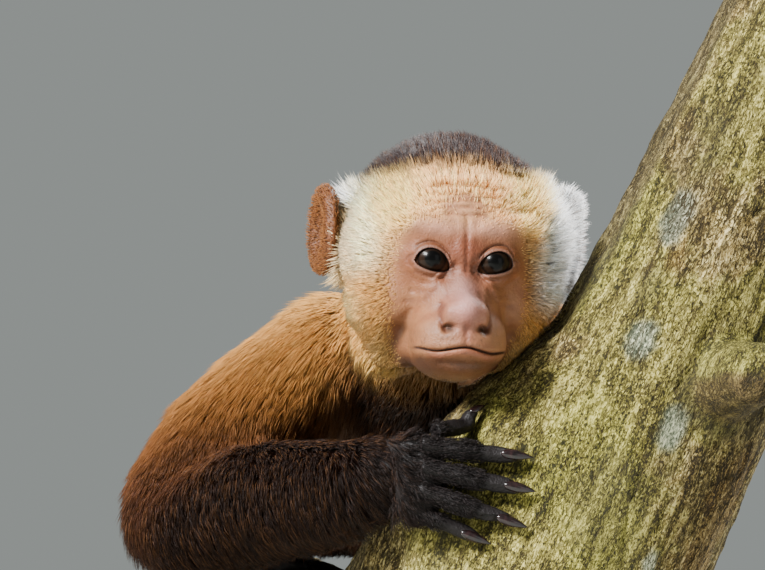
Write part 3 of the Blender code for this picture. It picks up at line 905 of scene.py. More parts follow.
def divided_near(mesh, chosen):
    """The mesh with its edges halved where chosen(points in the head's millimetres) is true."""
    bm = bm_of(mesh)
    bmesh.ops.triangulate(bm, faces=bm.faces)
    bm.verts.ensure_lookup_table()
    wanted = chosen(to_head(np.array([vert.co for vert in bm.verts])))
    edges = [edge for edge in bm.edges if all(wanted[vert.index] for vert in edge.verts)]
    bmesh.ops.subdivide_edges(bm, edges=edges, cuts=1, use_grid_fill=True)
    bmesh.ops.triangulate(bm, faces=[face for face in bm.faces if len(face.verts) > 3])
    return mesh_from(bm)


def front_face(points):
    x, y, z = points.T
    return (y < -20) & (np.abs(x) < 24) & (z > -48) & (z < 27)


def mouth_nose_and_eyes(points):
    x, y, z = points.T
    near = (np.abs(z - mouth_height(x)) < 2.2) & (y < -30)
    near |= np.linalg.norm(points - [0, -47, -21], axis=1) < 12
    for rows, u, v, _ in eye_places(points):
        near[rows] |= opening(u, v) > -3.2
    return near


def lid_edges(points):
    near = np.zeros(len(points), bool)
    for rows, u, v, _ in eye_places(points):
        near[rows] |= np.abs(opening(u, v)) < 1.1
    return near


WRIST_SHARE = 0.15
# Wrists and ankles are smoothed this much within these distances, this many times
WRIST_SOFTENING, WRIST_ROUNDS = 0.85, 24
WRIST_MM = (23, 14)


def limb_end(palm):
    """The middle of the wrist or ankle: the part of a palm or sole nearest its own limb."""
    kind, side = palm.split("_")
    limb = middle_of(f"{'forearm' if kind == 'hand' else 'shank'}_{side}")
    points = points_of(NODES[palm].data)
    away = np.linalg.norm(points - limb, axis=1)
    return points[away <= np.quantile(away, WRIST_SHARE)].mean(0)


def body_skin():
    """The one skin of the whole monkey, with the face worked into it."""
    head = fused([mass_mesh(*mass) for mass in MASSES], HEAD_VOXEL_MM, HEAD_SMOOTHING)
    mesh = fused([flesh_core(), head], SKIN_VOXEL_MM, HEAD_SMOOTHING)
    mesh = united(mesh, [ear(side) for side in SIDES.values()])
    mesh = united(mesh, [hand_or_foot(name, *how) for name, how in HANDS_AND_FEET.items()])
    points = points_of(mesh)
    share = np.zeros(len(points))
    for palm in HANDS_AND_FEET:
        away = np.linalg.norm(points - limb_end(palm), axis=1) / MM
        share = np.maximum(share, WRIST_SOFTENING * ramp(*WRIST_MM, away))
    move_points(mesh, relaxed(points, mesh, share, WRIST_ROUNDS))
    for zone in (front_face, mouth_nose_and_eyes, lid_edges):
        mesh = divided_near(mesh, zone)
        points = to_head(points_of(mesh))
        x, y, z = points.T
        close = np.flatnonzero((y < 3) & (np.abs(x) < 42) & (np.abs(z) < 60))
        points[close] = on_head(points[close])
        move_points(mesh, from_head(points))
    shape_face(mesh)
    return largest_piece(mesh)


# ---------------------------------------------------------------- colours of skin and coat
# Keys are node names without their side; the first that a node's name starts with is the one
FINGER_KEYS = ("thumb", "index", "middle", "ring", "little")
TOE_KEYS = ("big", "second", "third", "fourth")
CAP, FOREHEAD, TEMPLE, CHEEK = "210907", "ffc886", "fff2c2", "e0a24e"
WHITE = "ffffff"
HAIR_COLOURS = {
    "head": CHEEK, "jaw": CHEEK, "ear": CHEEK, "neck": "b98d56", "chest": "9c6a40",
    "belly": "6a4630", "hips": "57392a", "upper_arm": "a06a3e", "forearm": "1f0e06",
    "hand": "211816", "thigh": "4a3227", "shank": "33231d", "foot": "241a17",
    "tail_root": "4a3226", "tail_upper": "3f2b22", "tail_middle": "382620",
    "tail_lower": "33231e", "tail_curl": "2e201c", "tail_tip": "2a1d1a",
    **dict.fromkeys(FINGER_KEYS, "191211"), **dict.fromkeys(TOE_KEYS, "241a17"),
}
HAIR_LENGTHS_MM = {
    "head": 8, "jaw": 9, "ear": 2.6, "neck": 11.5, "chest": 12, "belly": 12, "hips": 12.5,
    "upper_arm": 12.5, "forearm": 12, "hand": 9, "thigh": 12, "shank": 9, "foot": 4, "tail": 9,
    **dict.fromkeys(FINGER_KEYS + TOE_KEYS, 0.4),
}
# The bare face's half-width at heights over its length, before hair thickens beyond it
BARE_HALF_WIDTHS_MM = [(-46, 14), (-40, 20), (-32, 24.5), (-22, 27.5), (-10, 28), (0, 26.5),
                       (8, 24), (15, 17)]
# Heights of the forequarters over the base, in millimetres, and the hair's colour there
FORE_COLOURS = [(296, "3c1e0c"), (318, "5a3014"), (338, "774820"), (356, "9c6830"),
                (376, "b88342"), (396, "c89853")]
FORE_NODES = ["neck", "chest", "upper_arm_right", "upper_arm_left"]
# The back's own brown, and the colour of the painted shadow on the chest under the chin
BACK_COLOUR, CHIN_SHADOW_COLOUR = "50301a", "22110a"
# The middle and radii, in metres, of the painted shadow under the chin
CHIN_SHADOW_MIDDLE, CHIN_SHADOW_RADII = np.array([-0.014, -0.10, 0.347]), np.array([0.042, 0.08, 0.027])
BARE_EAR, HAND_SKIN = "623514", "161212"
# Skin under the coat is this much of the coat's own brightness
UNDER_COAT_TONE = 0.8


def painted(colours, *layers):
    """Moves colours towards each layer's colour, in place, by its share for each row."""
    for share, hex_colour in layers:
        colours += (np.array(linear(hex_colour)) - colours) * np.clip(share, 0, 1)[:, None]
    return colours


def cap_share(head_points):
    """How much a place of the head belongs to the dark cap, from 0 to 1."""
    x, y, z = head_points.T
    ragged = 1.6 * soft_noise(head_points, 3.0, 61)
    edge = 32.0 - 7.0 * (x / 30) ** 2 - 1.2 * np.maximum(y - 15, 0) + ragged
    softness = 2.2 + 7.0 * ramp(18, 36, y)
    return ramp(-softness, softness, z - edge)


def wrinkled_brow(head_points):
    """Where the forehead's skin shows through thin hair, from 0 to 1."""
    x, y, z = head_points.T
    return bell(x, 11) * bell(z - 19, 8.5) * (y < 0)


def bare_reach(head_points):
    """1 at the edge of the bare face, less inside it and more in the coat round it."""
    x, y, z = head_points.T
    half_width = np.interp(z, *zip(*BARE_HALF_WIDTHS_MM))
    reach = np.maximum(np.abs(x) / half_width, np.maximum((z + 12) / 26.5, (-12 - z) / 33))
    return np.where(y < -4, reach, 2.0)


def ear_zone(head_points):
    """How much a place belongs to an ear and not to the skull beside it."""
    x, y, z = head_points.T
    return ramp(38.0, 40.0, np.abs(x)) * (y > 0) * (y < 32) * (z > -12) * (z < 32)


def white_tuft(head_points):
    """The long white hair behind the top of the right ear."""
    x, y, z = head_points.T
    behind_ear = ramp(-29, -33, x) * ramp(-1, 4, y) * ramp(15, 19, z) * ramp(33, 28, z)
    return behind_ear * (1 - ear_zone(head_points))


def head_hair_colour(head_points):
    """Gold brow, white temples, tan cheeks, dark cap and brown ears, with one ear white inside."""
    x, y, z = head_points.T
    side = np.abs(x)
    reach = bare_reach(head_points)
    ears = ear_zone(head_points)
    return painted(
        np.tile(linear(FOREHEAD), (len(x), 1)),
        (ramp(10, 22, side) * ramp(-4, 10, z), "ffd782"),
        (ramp(4, -10, z), CHEEK),
        (ramp(24, 31, side) * ramp(-12, 2, z), TEMPLE),
        (ramp(24, 30, x) * ramp(-20, -8, z) * ramp(30, 20, y), WHITE),
        (ramp(-20, -34, z), "e2b468"),
        (ramp(-31, -35, x) * ramp(20, 14, z) * ramp(-10, 0, z), "e6cda2"),
        # Hair thins towards the bare face, and the skin tints it
        (0.5 * ramp(1.3, 0.9, reach) * ramp(13, 4, z), "9a7048"),
        (0.85 * ramp(1.25, 0.85, reach) * ramp(2, 10, z), "cf9470"),
        (ramp(-28, -37, x) * ramp(-6, -16, z), "ffdb94"),
        (ramp(19, 13, side) * ramp(-31, -37, z), "927357"),
        # Painted shade under the chin, where the head's hair meets the chest
        (ramp(-41, -47, z), "2a170c"),
        (cap_share(head_points), CAP),
        (ears, "7a4a22"),
        (ears * (x > 0) * ramp(24, 17, y), WHITE),
        (white_tuft(head_points), WHITE))


def fore_colour(points):
    """The gold of the shoulders, which turns brown towards the elbows and over the back."""
    heights = [height for height, _ in FORE_COLOURS]
    table = np.array([linear(colour) for _, colour in FORE_COLOURS])
    colours = np.stack([np.interp(points[:, 2] / MM, heights, band) for band in table.T], 1)
    from_chin_shadow = np.linalg.norm((points - CHIN_SHADOW_MIDDLE) / CHIN_SHADOW_RADII, axis=1)
    # The back's brown towards the rear, then the painted shadow on the chest under the chin
    return painted(colours, (0.85 * ramp(-55 * MM, 5 * MM, points[:, 1]), BACK_COLOUR),
                   (0.95 * ramp(1.35, 0.6, from_chin_shadow), CHIN_SHADOW_COLOUR))


def share_of(shares, names, chosen):
    """How much each place belongs to the chosen nodes together, from 0 to 1."""
    return sum(shares[:, names.index(name)] for name in names if name in chosen)


def hair_colour(shares, names, head_points):
    table = np.array([linear(part_value(HAIR_COLOURS, name)) for name in names])
    fore_columns = [names.index(name) for name in FORE_NODES]
    table[fore_columns] = 0
    fore = shares[:, fore_columns].sum(1, keepdims=True)
    head = share_of(shares, names, HEAD_NODES)[:, None]
    rest = shares @ table + fore * fore_colour(from_head(head_points))
    return rest * (1 - head) + head * head_hair_colour(head_points)


def paint_eyes(colours, points):
    """Round the eyes: tan hollows, pale lid rims, painted shade in creases and inside the lids."""
    for rows, u, v, _ in eye_places(points):
        inside = opening(u, v)
        crease = 0.5 * bell(inside + 2.3, 0.6)
        colours[rows] = painted(
            colours[rows],
            (0.75 * bell(np.hypot(u, v) - 7, 5.5), "774326"),
            # Painted shade in the hollow above each eye's inner corner
            (0.8 * bell(np.hypot(u + 9, (v - 4) / 1.3), 5.4), "703822"),
            # Pale pink brow skin, with a painted highlight along the ridge above each eye
            (0.55 * spot(u, v, (-2, 12), (9, 3)), "c08a76"),
            # Painted shade in the crease over the upper lid and below the lower one
            (crease * ramp(-1, 1, v), "3c2016"),
            (crease * ramp(1, -1, v), "6d4131"),
            (0.4 * bell(inside + 0.6, 0.38), "84635c"),
            (0.5 * bell(inside + 1.3, 0.5), "55301f"),
            # Painted shadow of the lids just inside their opening
            (ramp(-0.34, -0.04, inside), "20110d"))


def lines(points, paths, width, strength, hex_colour):
    """Layers of paint along lines of the face and along their mirror images."""
    return [(strength * line_share(points, path, width, side), hex_colour)
            for path in paths for side in (1, -1)]


def face_skin_colour(head_points):
    """Mottled tan skin, pink down the nose, brown round the mouth, and painted shade in folds."""
    x, y, z = head_points.T
    side = np.abs(x)
    front = ramp(-24, -32, y)
    from_mouth = z - mouth_height(x)
    colours = painted(
        np.tile(linear("8a5938"), (len(x), 1)),
        (0.5 * ramp(0.0, 0.5, soft_noise(head_points, 5.0, 3)), "7c4527"),
        (0.85 * spot(x, z, (0, -9), (7, 9)), "94706a"),
        (0.8 * spot(x, z, (0, -20), (8, 8)), "9c6359"),
        (0.5 * spot(x, z, (0, -15), (3.2, 4)), "ba8e87"),
        (0.6 * spot(x, z, (0, -24), (2.6, 4)), "6a3526"),
        (0.85 * spot(side, z, (11, -26.5), (8, 5)), "885b3d"),
        (0.9 * ramp(-33.0, -37, z), "4a2812"),
        (0.6 * ramp(0.75, 1.05, bare_reach(head_points)), "85522a"),
        # Painted shade beside the outer corner of each eye
        (0.65 * spot(side, z, (21, -0.5), (4.5, 5)), "6b371c"),
        # Painted shade in the muzzle's hollow, stronger on the right, where more light falls
        *((strength * line_share(head_points, MUZZLE_HOLLOW, 3.6, flank, HOLLOW_FRONT_MM),
           "4c2813") for flank, strength in ((1, 0.4), (-1, 0.7))),
        # Painted shade along the nose's wing creases, the folds under the eyes and the nose's
        # sides
        *lines(head_points, [ALAR_CREASE], 0.9, 0.75, "55291c"),
        *lines(head_points, [*UNDER_EYE_FOLDS, NOSE_SIDE], 0.7, 0.4, "69382a"),
        # Painted shade in the upright furrow between the eyes
        (0.75 * bell(x - 0.6, 1.4) * ramp(-7, -3, z) * ramp(16, 11, z), "6c321f"),
        (wrinkled_brow(head_points), "b98660"),
        # Painted shade in the forehead's wrinkles
        *lines(head_points, BROW_WRINKLES, 0.6, 0.45, "7a4a30"))
    paint_eyes(colours, head_points)
    stubble = ramp(0.35, 0.6, soft_noise(head_points, 0.75, 9)) * front * ramp(-24, -29, z)
    mouth = bell(from_mouth, 0.5) * (1 - ramp(MOUTH_HALF_MM - 1, MOUTH_HALF_MM + 1, side))
    return painted(
        colours,
        (0.5 * stubble, "2e1910"),
        # Painted shade in the nostrils
        (spot(side, z, (6.1, -24.6), (1.9, 1.4)) * ramp(-43, -47, y), "150a07"),
        # Painted shade in the parting of the lips
        (mouth * front, "2c130d"),
        (0.5 * bell(from_mouth + 1.6) * front * ramp(15, 8, side), "8c4b39"))


def bare_share(head_points):
    """How much of a place of the head is bare face, from 0 to 1."""
    return np.maximum(ramp(1.3, 0.8, bare_reach(head_points)),
                      ramp(0.3, 0.7, wrinkled_brow(head_points)))


# ---------------------------------------------------------------- the coat's lie
# The nodes that the hair of each node runs from and towards
FLOW_NEXT = {
    "neck": ("head", "chest"), "chest": ("head", "belly"), "belly": ("chest", "hips"),
    "hips": ("belly", "tail_root"),
}
for side_name in SIDES:
    for above, *limb, last in (("neck", "upper_arm", "forearm", "hand", "middle_finger"),
                               ("hips", "thigh", "shank", "foot", "third_toe")):
        run = [above, *(f"{part}_{side_name}" for part in (*limb, last))]
        FLOW_NEXT.update({name: (before, after)
                          for before, name, after in zip(run, run[1:], run[2:])})
    for palm, digits in (("hand", FINGERS), ("foot", TOES)):
        FLOW_NEXT.update({f"{digit}_{side_name}": (f"{palm}_{side_name}", f"{digit}_{side_name}")
                          for digit in digits})
for before, name, after in zip(["hips", *TAIL], TAIL, [*TAIL[1:], TAIL[-1]]):
    FLOW_NEXT[name] = (before, after)
# How much the hair of a part hangs down instead
HANG = {"forearm": 0.65, "upper_arm": 0.25, "hand": 0.3, "belly": 0.35, "neck": 0.2,
        "index": 0.25, "middle": 0.3, "ring": 0.35, "little_finger": 0.4}
FACE_MIDDLE_MM = np.array([0, -50, -6])
TUFT_PULL_MM, TUFT_WAY = 90, np.array([-0.9, -0.2, 0.3])


def coat_flow(normals, shares, names, head_points):
    """The way the hair lies at each place of the skin, along the surface."""
    ways = np.zeros((len(names), 3))
    for row, name in enumerate(names):
        if name in FLOW_NEXT:
            start, end = FLOW_NEXT[name]
            way = unit(middle_of(end) - middle_of(start))
            hang = next((value for key, value in HANG.items() if name.startswith(key)), 0.0)
            ways[row] = unit(way * (1 - hang) + np.array([0, 0, -hang]))
    flow = shares @ ways
    from_face = head_points - FACE_MIDDLE_MM
    from_face[:, 2] -= ramp(-6, -26, head_points[:, 2]) * 14
    from_face += TUFT_PULL_MM * white_tuft(head_points)[:, None] * TUFT_WAY
    flow += share_of(shares, names, HEAD_NODES)[:, None] * unit(from_face @ HEAD_AXES)
    flow -= (flow * normals).sum(1, keepdims=True) * normals
    return unit(flow)


LONGEST_HEAD_HAIR_MM = 16.0
WHITE_TUFT_MM = 21.0


def coat_length(shares, names, head_points):
    """The hair's length in millimetres at each place of the skin."""
    table = np.array([part_value(HAIR_LENGTHS_MM, name) for name in names])
    head = share_of(shares, names, HEAD_NODES)
    x, _, z = head_points.T
    side = np.abs(x)
    crown, ears = cap_share(head_points), ear_zone(head_points)
    puff = np.where(x > 0, 13.0, 4.6) * ramp(20, 29, side) * (1 - crown)
    hair = 8.2 + 0.8 * crown + puff
    hair += 8.0 * ramp(-2, -18, z) * ramp(14, 24, side) + 3.0 * ramp(-36, -44, z)
    hair = np.minimum(hair, LONGEST_HEAD_HAIR_MM)
    hair += 2.5 * ramp(23, 29, x) * ramp(9, 16, z) * (1 - crown)
    hair *= 1 - 0.4 * ramp(18, 12, side) * ramp(-31, -37, z)
    hair *= ramp(0.6, 1.45, bare_reach(head_points)) ** 1.5
    hair -= 4.2 * ramp(-30, -35, x) * ramp(20, 14, z) * ramp(-22, -10, z)
    hair *= 1 - 0.72 * wrinkled_brow(head_points)
    hair += WHITE_TUFT_MM * white_tuft(head_points)
    hair += (np.where(x > 0, 8.0, 2.4) - hair) * ears
    return shares @ table * (1 - head) + hair * head


# ---------------------------------------------------------------- tufts
# A tuft's points are its root, three round its bend and its tip
TUFT_POINTS = 5
TUFT_FACES = np.array([[0, 2, 1], [0, 3, 2], [0, 1, 3], [1, 2, 4], [2, 3, 4], [3, 1, 4]])
BEND_ANGLES = [math.radians(angle) for angle in (210, -30, 90)]
TO_BEND, FROM_BEND = 0.45, 0.55
ROOT_DEPTH_MM = 0.6
TUFTS_IN_LOCK = 11
GLINT, GLINT_SHARE, GLINT_DEPTH = "9a6638", 0.22, 0.22
# How much tufts differ by chance. Of a pair, the first is the least share of the piece's own
# length or radius and the second is the most that chance adds, for a tuft or for its whole lock
TURN = 0.13
TUFT_LENGTH, LOCK_LENGTH = (0.78, 0.44), (0.9, 0.2)
LEAST_LIFT, LOCK_LIFT, TUFT_LIFT = 0.8, 0.4, 0.2
TUFT_RADIUS = (0.75, 0.5)
LOCK_TONE, TUFT_TONE = 0.28, 0.36
# Warmth is red gained and blue lost
WARMTH = 0.04
# Degrees from the skin before and after the bend, with the share of the lift that is left there
RISE, FALL, LIFT_LEFT = 9, -2, 0.45
# How far tips and bends are drawn to their lock's tip
TIP_DRAWN, BEND_DRAWN = (0.10, 0.30), 0.06
RING_HEIGHT = 0.8
ROOT_DARKER, TIP_LIGHTER = 0.22, 0.12
# Each tuft's patch on the flat map is about this share of the map across
PATCH = 0.003
PATCH_UV = np.array([[0, -0.5], [-0.5, 0], [0.5, 0], [0, 0.2], [0, 0.5]]) * PATCH


def sample_roots(rng, points, faces, weights, count):
    """Places for roots over the faces: which face, and shares of its corners."""
    a, b, c = (points[faces[:, corner]] for corner in range(3))
    area = np.linalg.norm(np.cross(b - a, c - a), axis=1) * weights[faces].mean(1)
    steps = np.cumsum(area)
    picks = (np.arange(count) + rng.random(count)) / count * steps[-1]
    face = np.minimum(np.searchsorted(steps, picks), len(faces) - 1)
    first, second = np.sqrt(rng.random(count)), rng.random(count)
    return face, np.stack([1 - first, first * (1 - second), first * second], 1)


def nearest_rows(places, targets):
    tree = KDTree(len(targets))
    for row, target in enumerate(targets):
        tree.insert(target, row)
    tree.balance()
    return np.array([tree.find(place)[1] for place in places])


def unwrapped(places):
    """A place on a flat map for each root: the way round the piece's long axis, and along it."""
    middle = places.mean(0)
    axes = np.linalg.svd(places - middle, full_matrices=False)[2]
    along, first, second = ((places - middle) @ axis for axis in axes)
    turn = np.arctan2(second, first) / (2 * math.pi) + 0.5
    rise = (along - along.min()) / max(np.ptp(along), 1e-6)
    return np.stack([turn, rise], 1) * (1 - 4 * PATCH) + 2 * PATCH


def tuft_mesh(name, places, colours, flat):
    """The mesh of all the tufts, with their colours and their patches of the flat map."""
    count = len(places)
    polygons = (TUFT_FACES[None] + np.arange(count)[:, None, None] * TUFT_POINTS).reshape(-1, 3)
    mesh = bpy.data.meshes.new(name)
    mesh.vertices.add(count * TUFT_POINTS)
    mesh.loops.add(polygons.size)
    mesh.polygons.add(len(polygons))
    mesh.vertices.foreach_set("co", places.astype(np.float32).ravel())
    mesh.loops.foreach_set("vertex_index", polygons.astype(np.int32).ravel())
    mesh.polygons.foreach_set("loop_start", np.arange(0, polygons.size, 3, dtype=np.int32))
    mesh.update(calc_edges=True)
    set_colours(mesh, "hair", colours.reshape(-1, 3))
    layer = mesh.uv_layers.new(name="OFBake")
    patches = flat.reshape(-1, 2)[polygons.ravel()]
    layer.data.foreach_set("uv", patches.astype(np.float32).ravel())
    return mesh


def coat_piece(name, skin, chosen, count, width_mm, parting, seed, made_of):
    """One piece of the coat: tufts rooted on the skin's chosen faces and drawn into locks."""
    rng = np.random.default_rng(seed)
    faces = skin["faces"][chosen]
    face, share = sample_roots(rng, skin["points"], faces, skin["density"], count)
    corners = faces[face]
    at_root = {field: np.einsum("ij,ij...->i...", share, values[corners])
               for field, values in skin.items() if field != "faces"}
    root, normal, flow = at_root["points"], unit(at_root["normals"]), at_root["flow"]
    locks = max(count // TUFTS_IN_LOCK, 1)
    lock = nearest_rows(root, root[:locks * TUFTS_IN_LOCK:TUFTS_IN_LOCK])

    def chance(least, most, number):
        return least + most * rng.random(number)

    # Each tuft turns, stands and reaches a little its own way, and more so with its lock
    turn = (TURN * parting * rng.standard_normal(locks)[lock]
            + TURN * rng.standard_normal(count))[:, None]
    flow = unit(flow + np.cross(normal, flow) * turn)
    length = at_root["length"] * MM
    length = length * chance(*TUFT_LENGTH, count) * chance(*LOCK_LENGTH, locks)[lock]
    lift = at_root["lift"] * (LEAST_LIFT + LOCK_LIFT * parting * rng.random(locks)[lock]
                              + TUFT_LIFT * rng.random(count))
    rise = np.radians(lift + RISE)[:, None]
    fall = np.radians(lift * LIFT_LEFT + FALL)[:, None]
    size = length[:, None]
    middle = root + size * TO_BEND * (flow * np.cos(rise) + normal * np.sin(rise))
    tip = middle + size * FROM_BEND * (flow * np.cos(fall) + normal * np.sin(fall))

    # The tips of a lock are drawn towards its own tip
    lock_tips, lock_sizes = np.zeros((locks, 3)), np.zeros(locks)
    np.add.at(lock_tips, lock, tip)
    np.add.at(lock_sizes, lock, 1)
    lock_tips /= np.maximum(lock_sizes, 1)[:, None]
    tip += (lock_tips[lock] - tip) * (parting * chance(*TIP_DRAWN, count))[:, None]
    middle += (lock_tips[lock] - middle) * BEND_DRAWN * parting

    radius = width_mm * MM * chance(*TUFT_RADIUS, count)[:, None]
    way = unit(tip - root)
    side = unit(np.cross(way, normal))
    out = np.cross(side, way)
    ring = [middle + radius * (side * math.cos(angle) + out * math.sin(angle) * RING_HEIGHT)
            for angle in BEND_ANGLES]
    places = np.stack([root - normal * ROOT_DEPTH_MM * MM, *ring, tip], 1)

    tone = ((1 + LOCK_TONE * parting * (rng.random(locks)[lock] - 0.5))
            * (1 + TUFT_TONE * parting * (rng.random(count) - 0.5)))
    warm = (rng.standard_normal(count) * WARMTH)[:, None] * np.array([1.0, 0.0, -1.0])
    strand = at_root["colour"] * tone[:, None] * (1 + warm)
    painted(strand, (at_root["glint"] * (rng.random(count) < GLINT_SHARE), GLINT))
    strand = np.clip(strand, 0, 1)
    at_tip = np.clip(strand * (1 + TIP_LIGHTER * parting), 0, 1)
    tones = np.stack([strand * (1 - ROOT_DARKER * parting), *[strand] * 3, at_tip], 1)
    mesh = tuft_mesh(name, places, tones, unwrapped(root)[:, None] + PATCH_UV)
    return new_object(name, mesh, made_of)


# ---------------------------------------------------------------- the perch
TRUNK_LOW = np.array([-0.001, -0.102, 0.156])
TRUNK_HIGH = np.array([0.150, -0.105, 0.518])
STUB_LINE = [(0.088, -0.122, 0.354), (0.101, -0.161, 0.359)]
STUB_MM = 19
FLAT_CUT_MM = -0.2
PERCH_VOXEL_MM, PERCH_GROW_MM, PERCH_SMOOTHING = 2.0, 0.3, 4
# The heart of each sawn end and the way it faces
SAWN_ENDS = [(TRUNK_HIGH, (58, 0, 118)), (TRUNK_LOW, (-21, 2, -94)),
             ((-0.081, 0.206, 0.250), (-11, 56, 3))]
# Growths and stains: the middle of each and how far it reaches
MOSS_PLACES = [
    ((0.02, -0.15, 0.30), 0.05), ((0.0, -0.15, 0.21), 0.045), ((0.097, -0.15, 0.366), 0.024),
    ((0.06, -0.15, 0.36), 0.03), ((0.11, -0.13, 0.46), 0.03), ((0.05, -0.15, 0.25), 0.03),
    ((0.047, -0.135, 0.397), 0.018), ((0.06, -0.135, 0.42), 0.014),
    ((0.033, -0.15, 0.349), 0.022),
]
SHADED_PLACES = [
    ((0.077, -0.145, 0.424), 0.010), ((0.0616, -0.15, 0.3915), 0.009),
    ((0.102, -0.14, 0.393), 0.007), ((0.048, -0.15, 0.312), 0.014),
    ((0.081, -0.14, 0.4415), 0.013),
]
LICHEN_PLACES = [
    ((0.0735, -0.142, 0.4165), 0.0070), ((0.0605, -0.15, 0.3725), 0.0062),
    ((0.073, -0.15, 0.339), 0.0055), ((0.066, -0.15, 0.289), 0.004),
    ((0.12, -0.13, 0.49), 0.008), ((-0.03, -0.14, 0.24), 0.007), ((0.13, -0.09, 0.43), 0.01),
]
ROT_PLACES = [((0.1, -0.13, 0.31), 0.016), ((0.0740, -0.148, 0.402), 0.005),
              ((0.085, -0.13, 0.285), 0.012)]
# The way that the darker side of the trunk faces
LEFT_FACING_WAY = np.array([-0.93, -0.05, 0.38])


def patch_share(points, places, seed):
    """How much of a growth there is at each point: round each place, with a ragged edge."""
    ragged = (1 + 0.2 * soft_noise(points, 9 * MM, seed)
              + 0.2 * soft_noise(points, 3 * MM, seed + 1))
    share = np.zeros(len(points))
    axis = unit(TRUNK_HIGH - TRUNK_LOW)
    for centre, reach in places:
        offset = points - np.array(centre)
        offset -= (offset @ axis)[:, None] * axis * 0.35
        away = np.linalg.norm(offset, axis=1) / reach * ragged
        share = np.maximum(share, ramp(1.15, 0.75, away))
    return share


def sawn_share(points, normals):
    """1 on the wood's flat sawn ends, which are found by their outward way and their place."""
    share = np.zeros(len(points))
    for heart, outward in SAWN_ENDS:
        out = unit(np.array(outward))
        level = (points - np.array(heart)) @ out
        on_cut = ramp(0.90, 0.97, normals @ out) * ramp(-6 * MM, -4 * MM, level)
        share = np.maximum(share, on_cut)
    return share


def ring_places(points):
    """Each point's place from the heart of the nearest sawn end, with Z out of the cut."""
    hearts = np.array([heart for heart, _ in SAWN_ENDS])
    nearest = np.linalg.norm(points[:, None] - hearts, axis=2).argmin(1)
    places = np.zeros((len(points), 3))
    for row, (heart, outward) in enumerate(SAWN_ENDS):
        out = unit(np.array(outward, float))
        across = unit(np.cross(out, [0, 1, 1]))
        cut_axes = np.stack([across, np.cross(out, across), out], 1)
        places[nearest == row] = (points[nearest == row] - heart) @ cut_axes
    return places


def perch(bark, sawn):
    """The trunk, its limb and its stub as one piece of wood, rough with flakes and cracks."""
    solids = [solid_copy(name, PERCH_GROW_MM) for name in PERCH_NODES]
    mesh = largest_piece(fused(solids, PERCH_VOXEL_MM, PERCH_SMOOTHING))
    points, normals = points_of(mesh), normals_of(mesh)
    axis = unit(TRUNK_HIGH - TRUNK_LOW)
    along = (points @ axis)[:, None] * axis
    aligned = points - along * 0.5
    across = unit(np.cross(axis, [0, 1, 0]))
    turned = np.stack([across, np.cross(axis, across), axis], 1)

    lumps = soft_noise(aligned, 26 * MM, 1) * 1.3 + soft_noise(aligned, 8 * MM, 2) * 0.7
    flakes = soft_noise(aligned, 3.2 * MM, 3) * 0.45
    cracks = 1.1 * bell(soft_noise(points - along * 0.86, 7 * MM, 5), 0.06)
    cut = sawn_share(points, normals)
    from_stub = line_distance(points, STUB_LINE)
    stub = ramp(STUB_MM * MM, 15 * MM, from_stub) * (points[:, 1] < -0.135)
    rough = lumps + (flakes - cracks) * (1 - 0.7 * stub) - 0.9
    depth = rough * (1 - cut) + FLAT_CUT_MM * cut
    move_points(mesh, points + normals * depth[:, None] * MM)
    on_cut = cut[:, None] > 0.5
    set_values(mesh, "along_wood", np.where(on_cut, ring_places(points), aligned @ turned))

    moss = 0.45 * ramp(-0.1, 0.5, soft_noise(aligned, 34 * MM, 33))
    moss *= ramp(0.085, 0.055, points[:, 0])
    moss += 0.75 * patch_share(points, MOSS_PLACES, 31)
    # The stub's underside: painted shade, less moss and a browner colour
    under = ramp(0.25, -0.25, normals[:, 2]) * stub
    growths = [0.45 * patch_share(points, ROT_PLACES, 21) + 0.5 * under,
               moss + 0.7 * stub * (1 - under), 0.55 * patch_share(points, LICHEN_PLACES, 41)]
    set_colours(mesh, "growths", np.clip(np.stack(growths, 1), 0, 1))

    # Darkening: bands along the wood and given dark places, the side facing up and left, the stub,
    # and painted shade round and under the stub
    bands = ramp(0.15, 0.6, soft_noise(points - along * 0.88, 15 * MM, 51))
    bands = np.maximum(bands, patch_share(points, SHADED_PLACES, 71))
    # Darker where the wood faces up and to the left, above 0.36 m
    left_facing = ramp(0.90, 0.97, normals @ unit(LEFT_FACING_WAY)) * ramp(0.36, 0.40, points[:, 2])
    # Painted shade round the stub's base, most of it below the stub
    shade_round_stub = bell(from_stub - STUB_MM * MM, 4 * MM)
    shade_round_stub *= 0.3 + 0.7 * ramp(10 * MM, -10 * MM, points[:, 2] - 0.357)
    shade = 0.6 * bands + left_facing + shade_round_stub + 0.9 * under + 0.35 * stub
    set_values(mesh, "weathering_and_shade", np.clip(shade, 0, 1))
    wood = new_object("perch_bark", mesh, bark, sawn)
    ends = [all(cut[index] > 0.5 for index in polygon.vertices) for polygon in mesh.polygons]
    mesh.polygons.foreach_set("material_index", np.array(ends, np.int32))
    return wood


# ---------------------------------------------------------------- the stand
BASE_MM = (320, 400, 18)
BASE_CORNER_MM, BASE_RIM_MM = 40, 3
CORNER_FACES, RIM_FACES, ROD_FACES = 14, 5, 48
SHARP_ANGLE = math.radians(50)


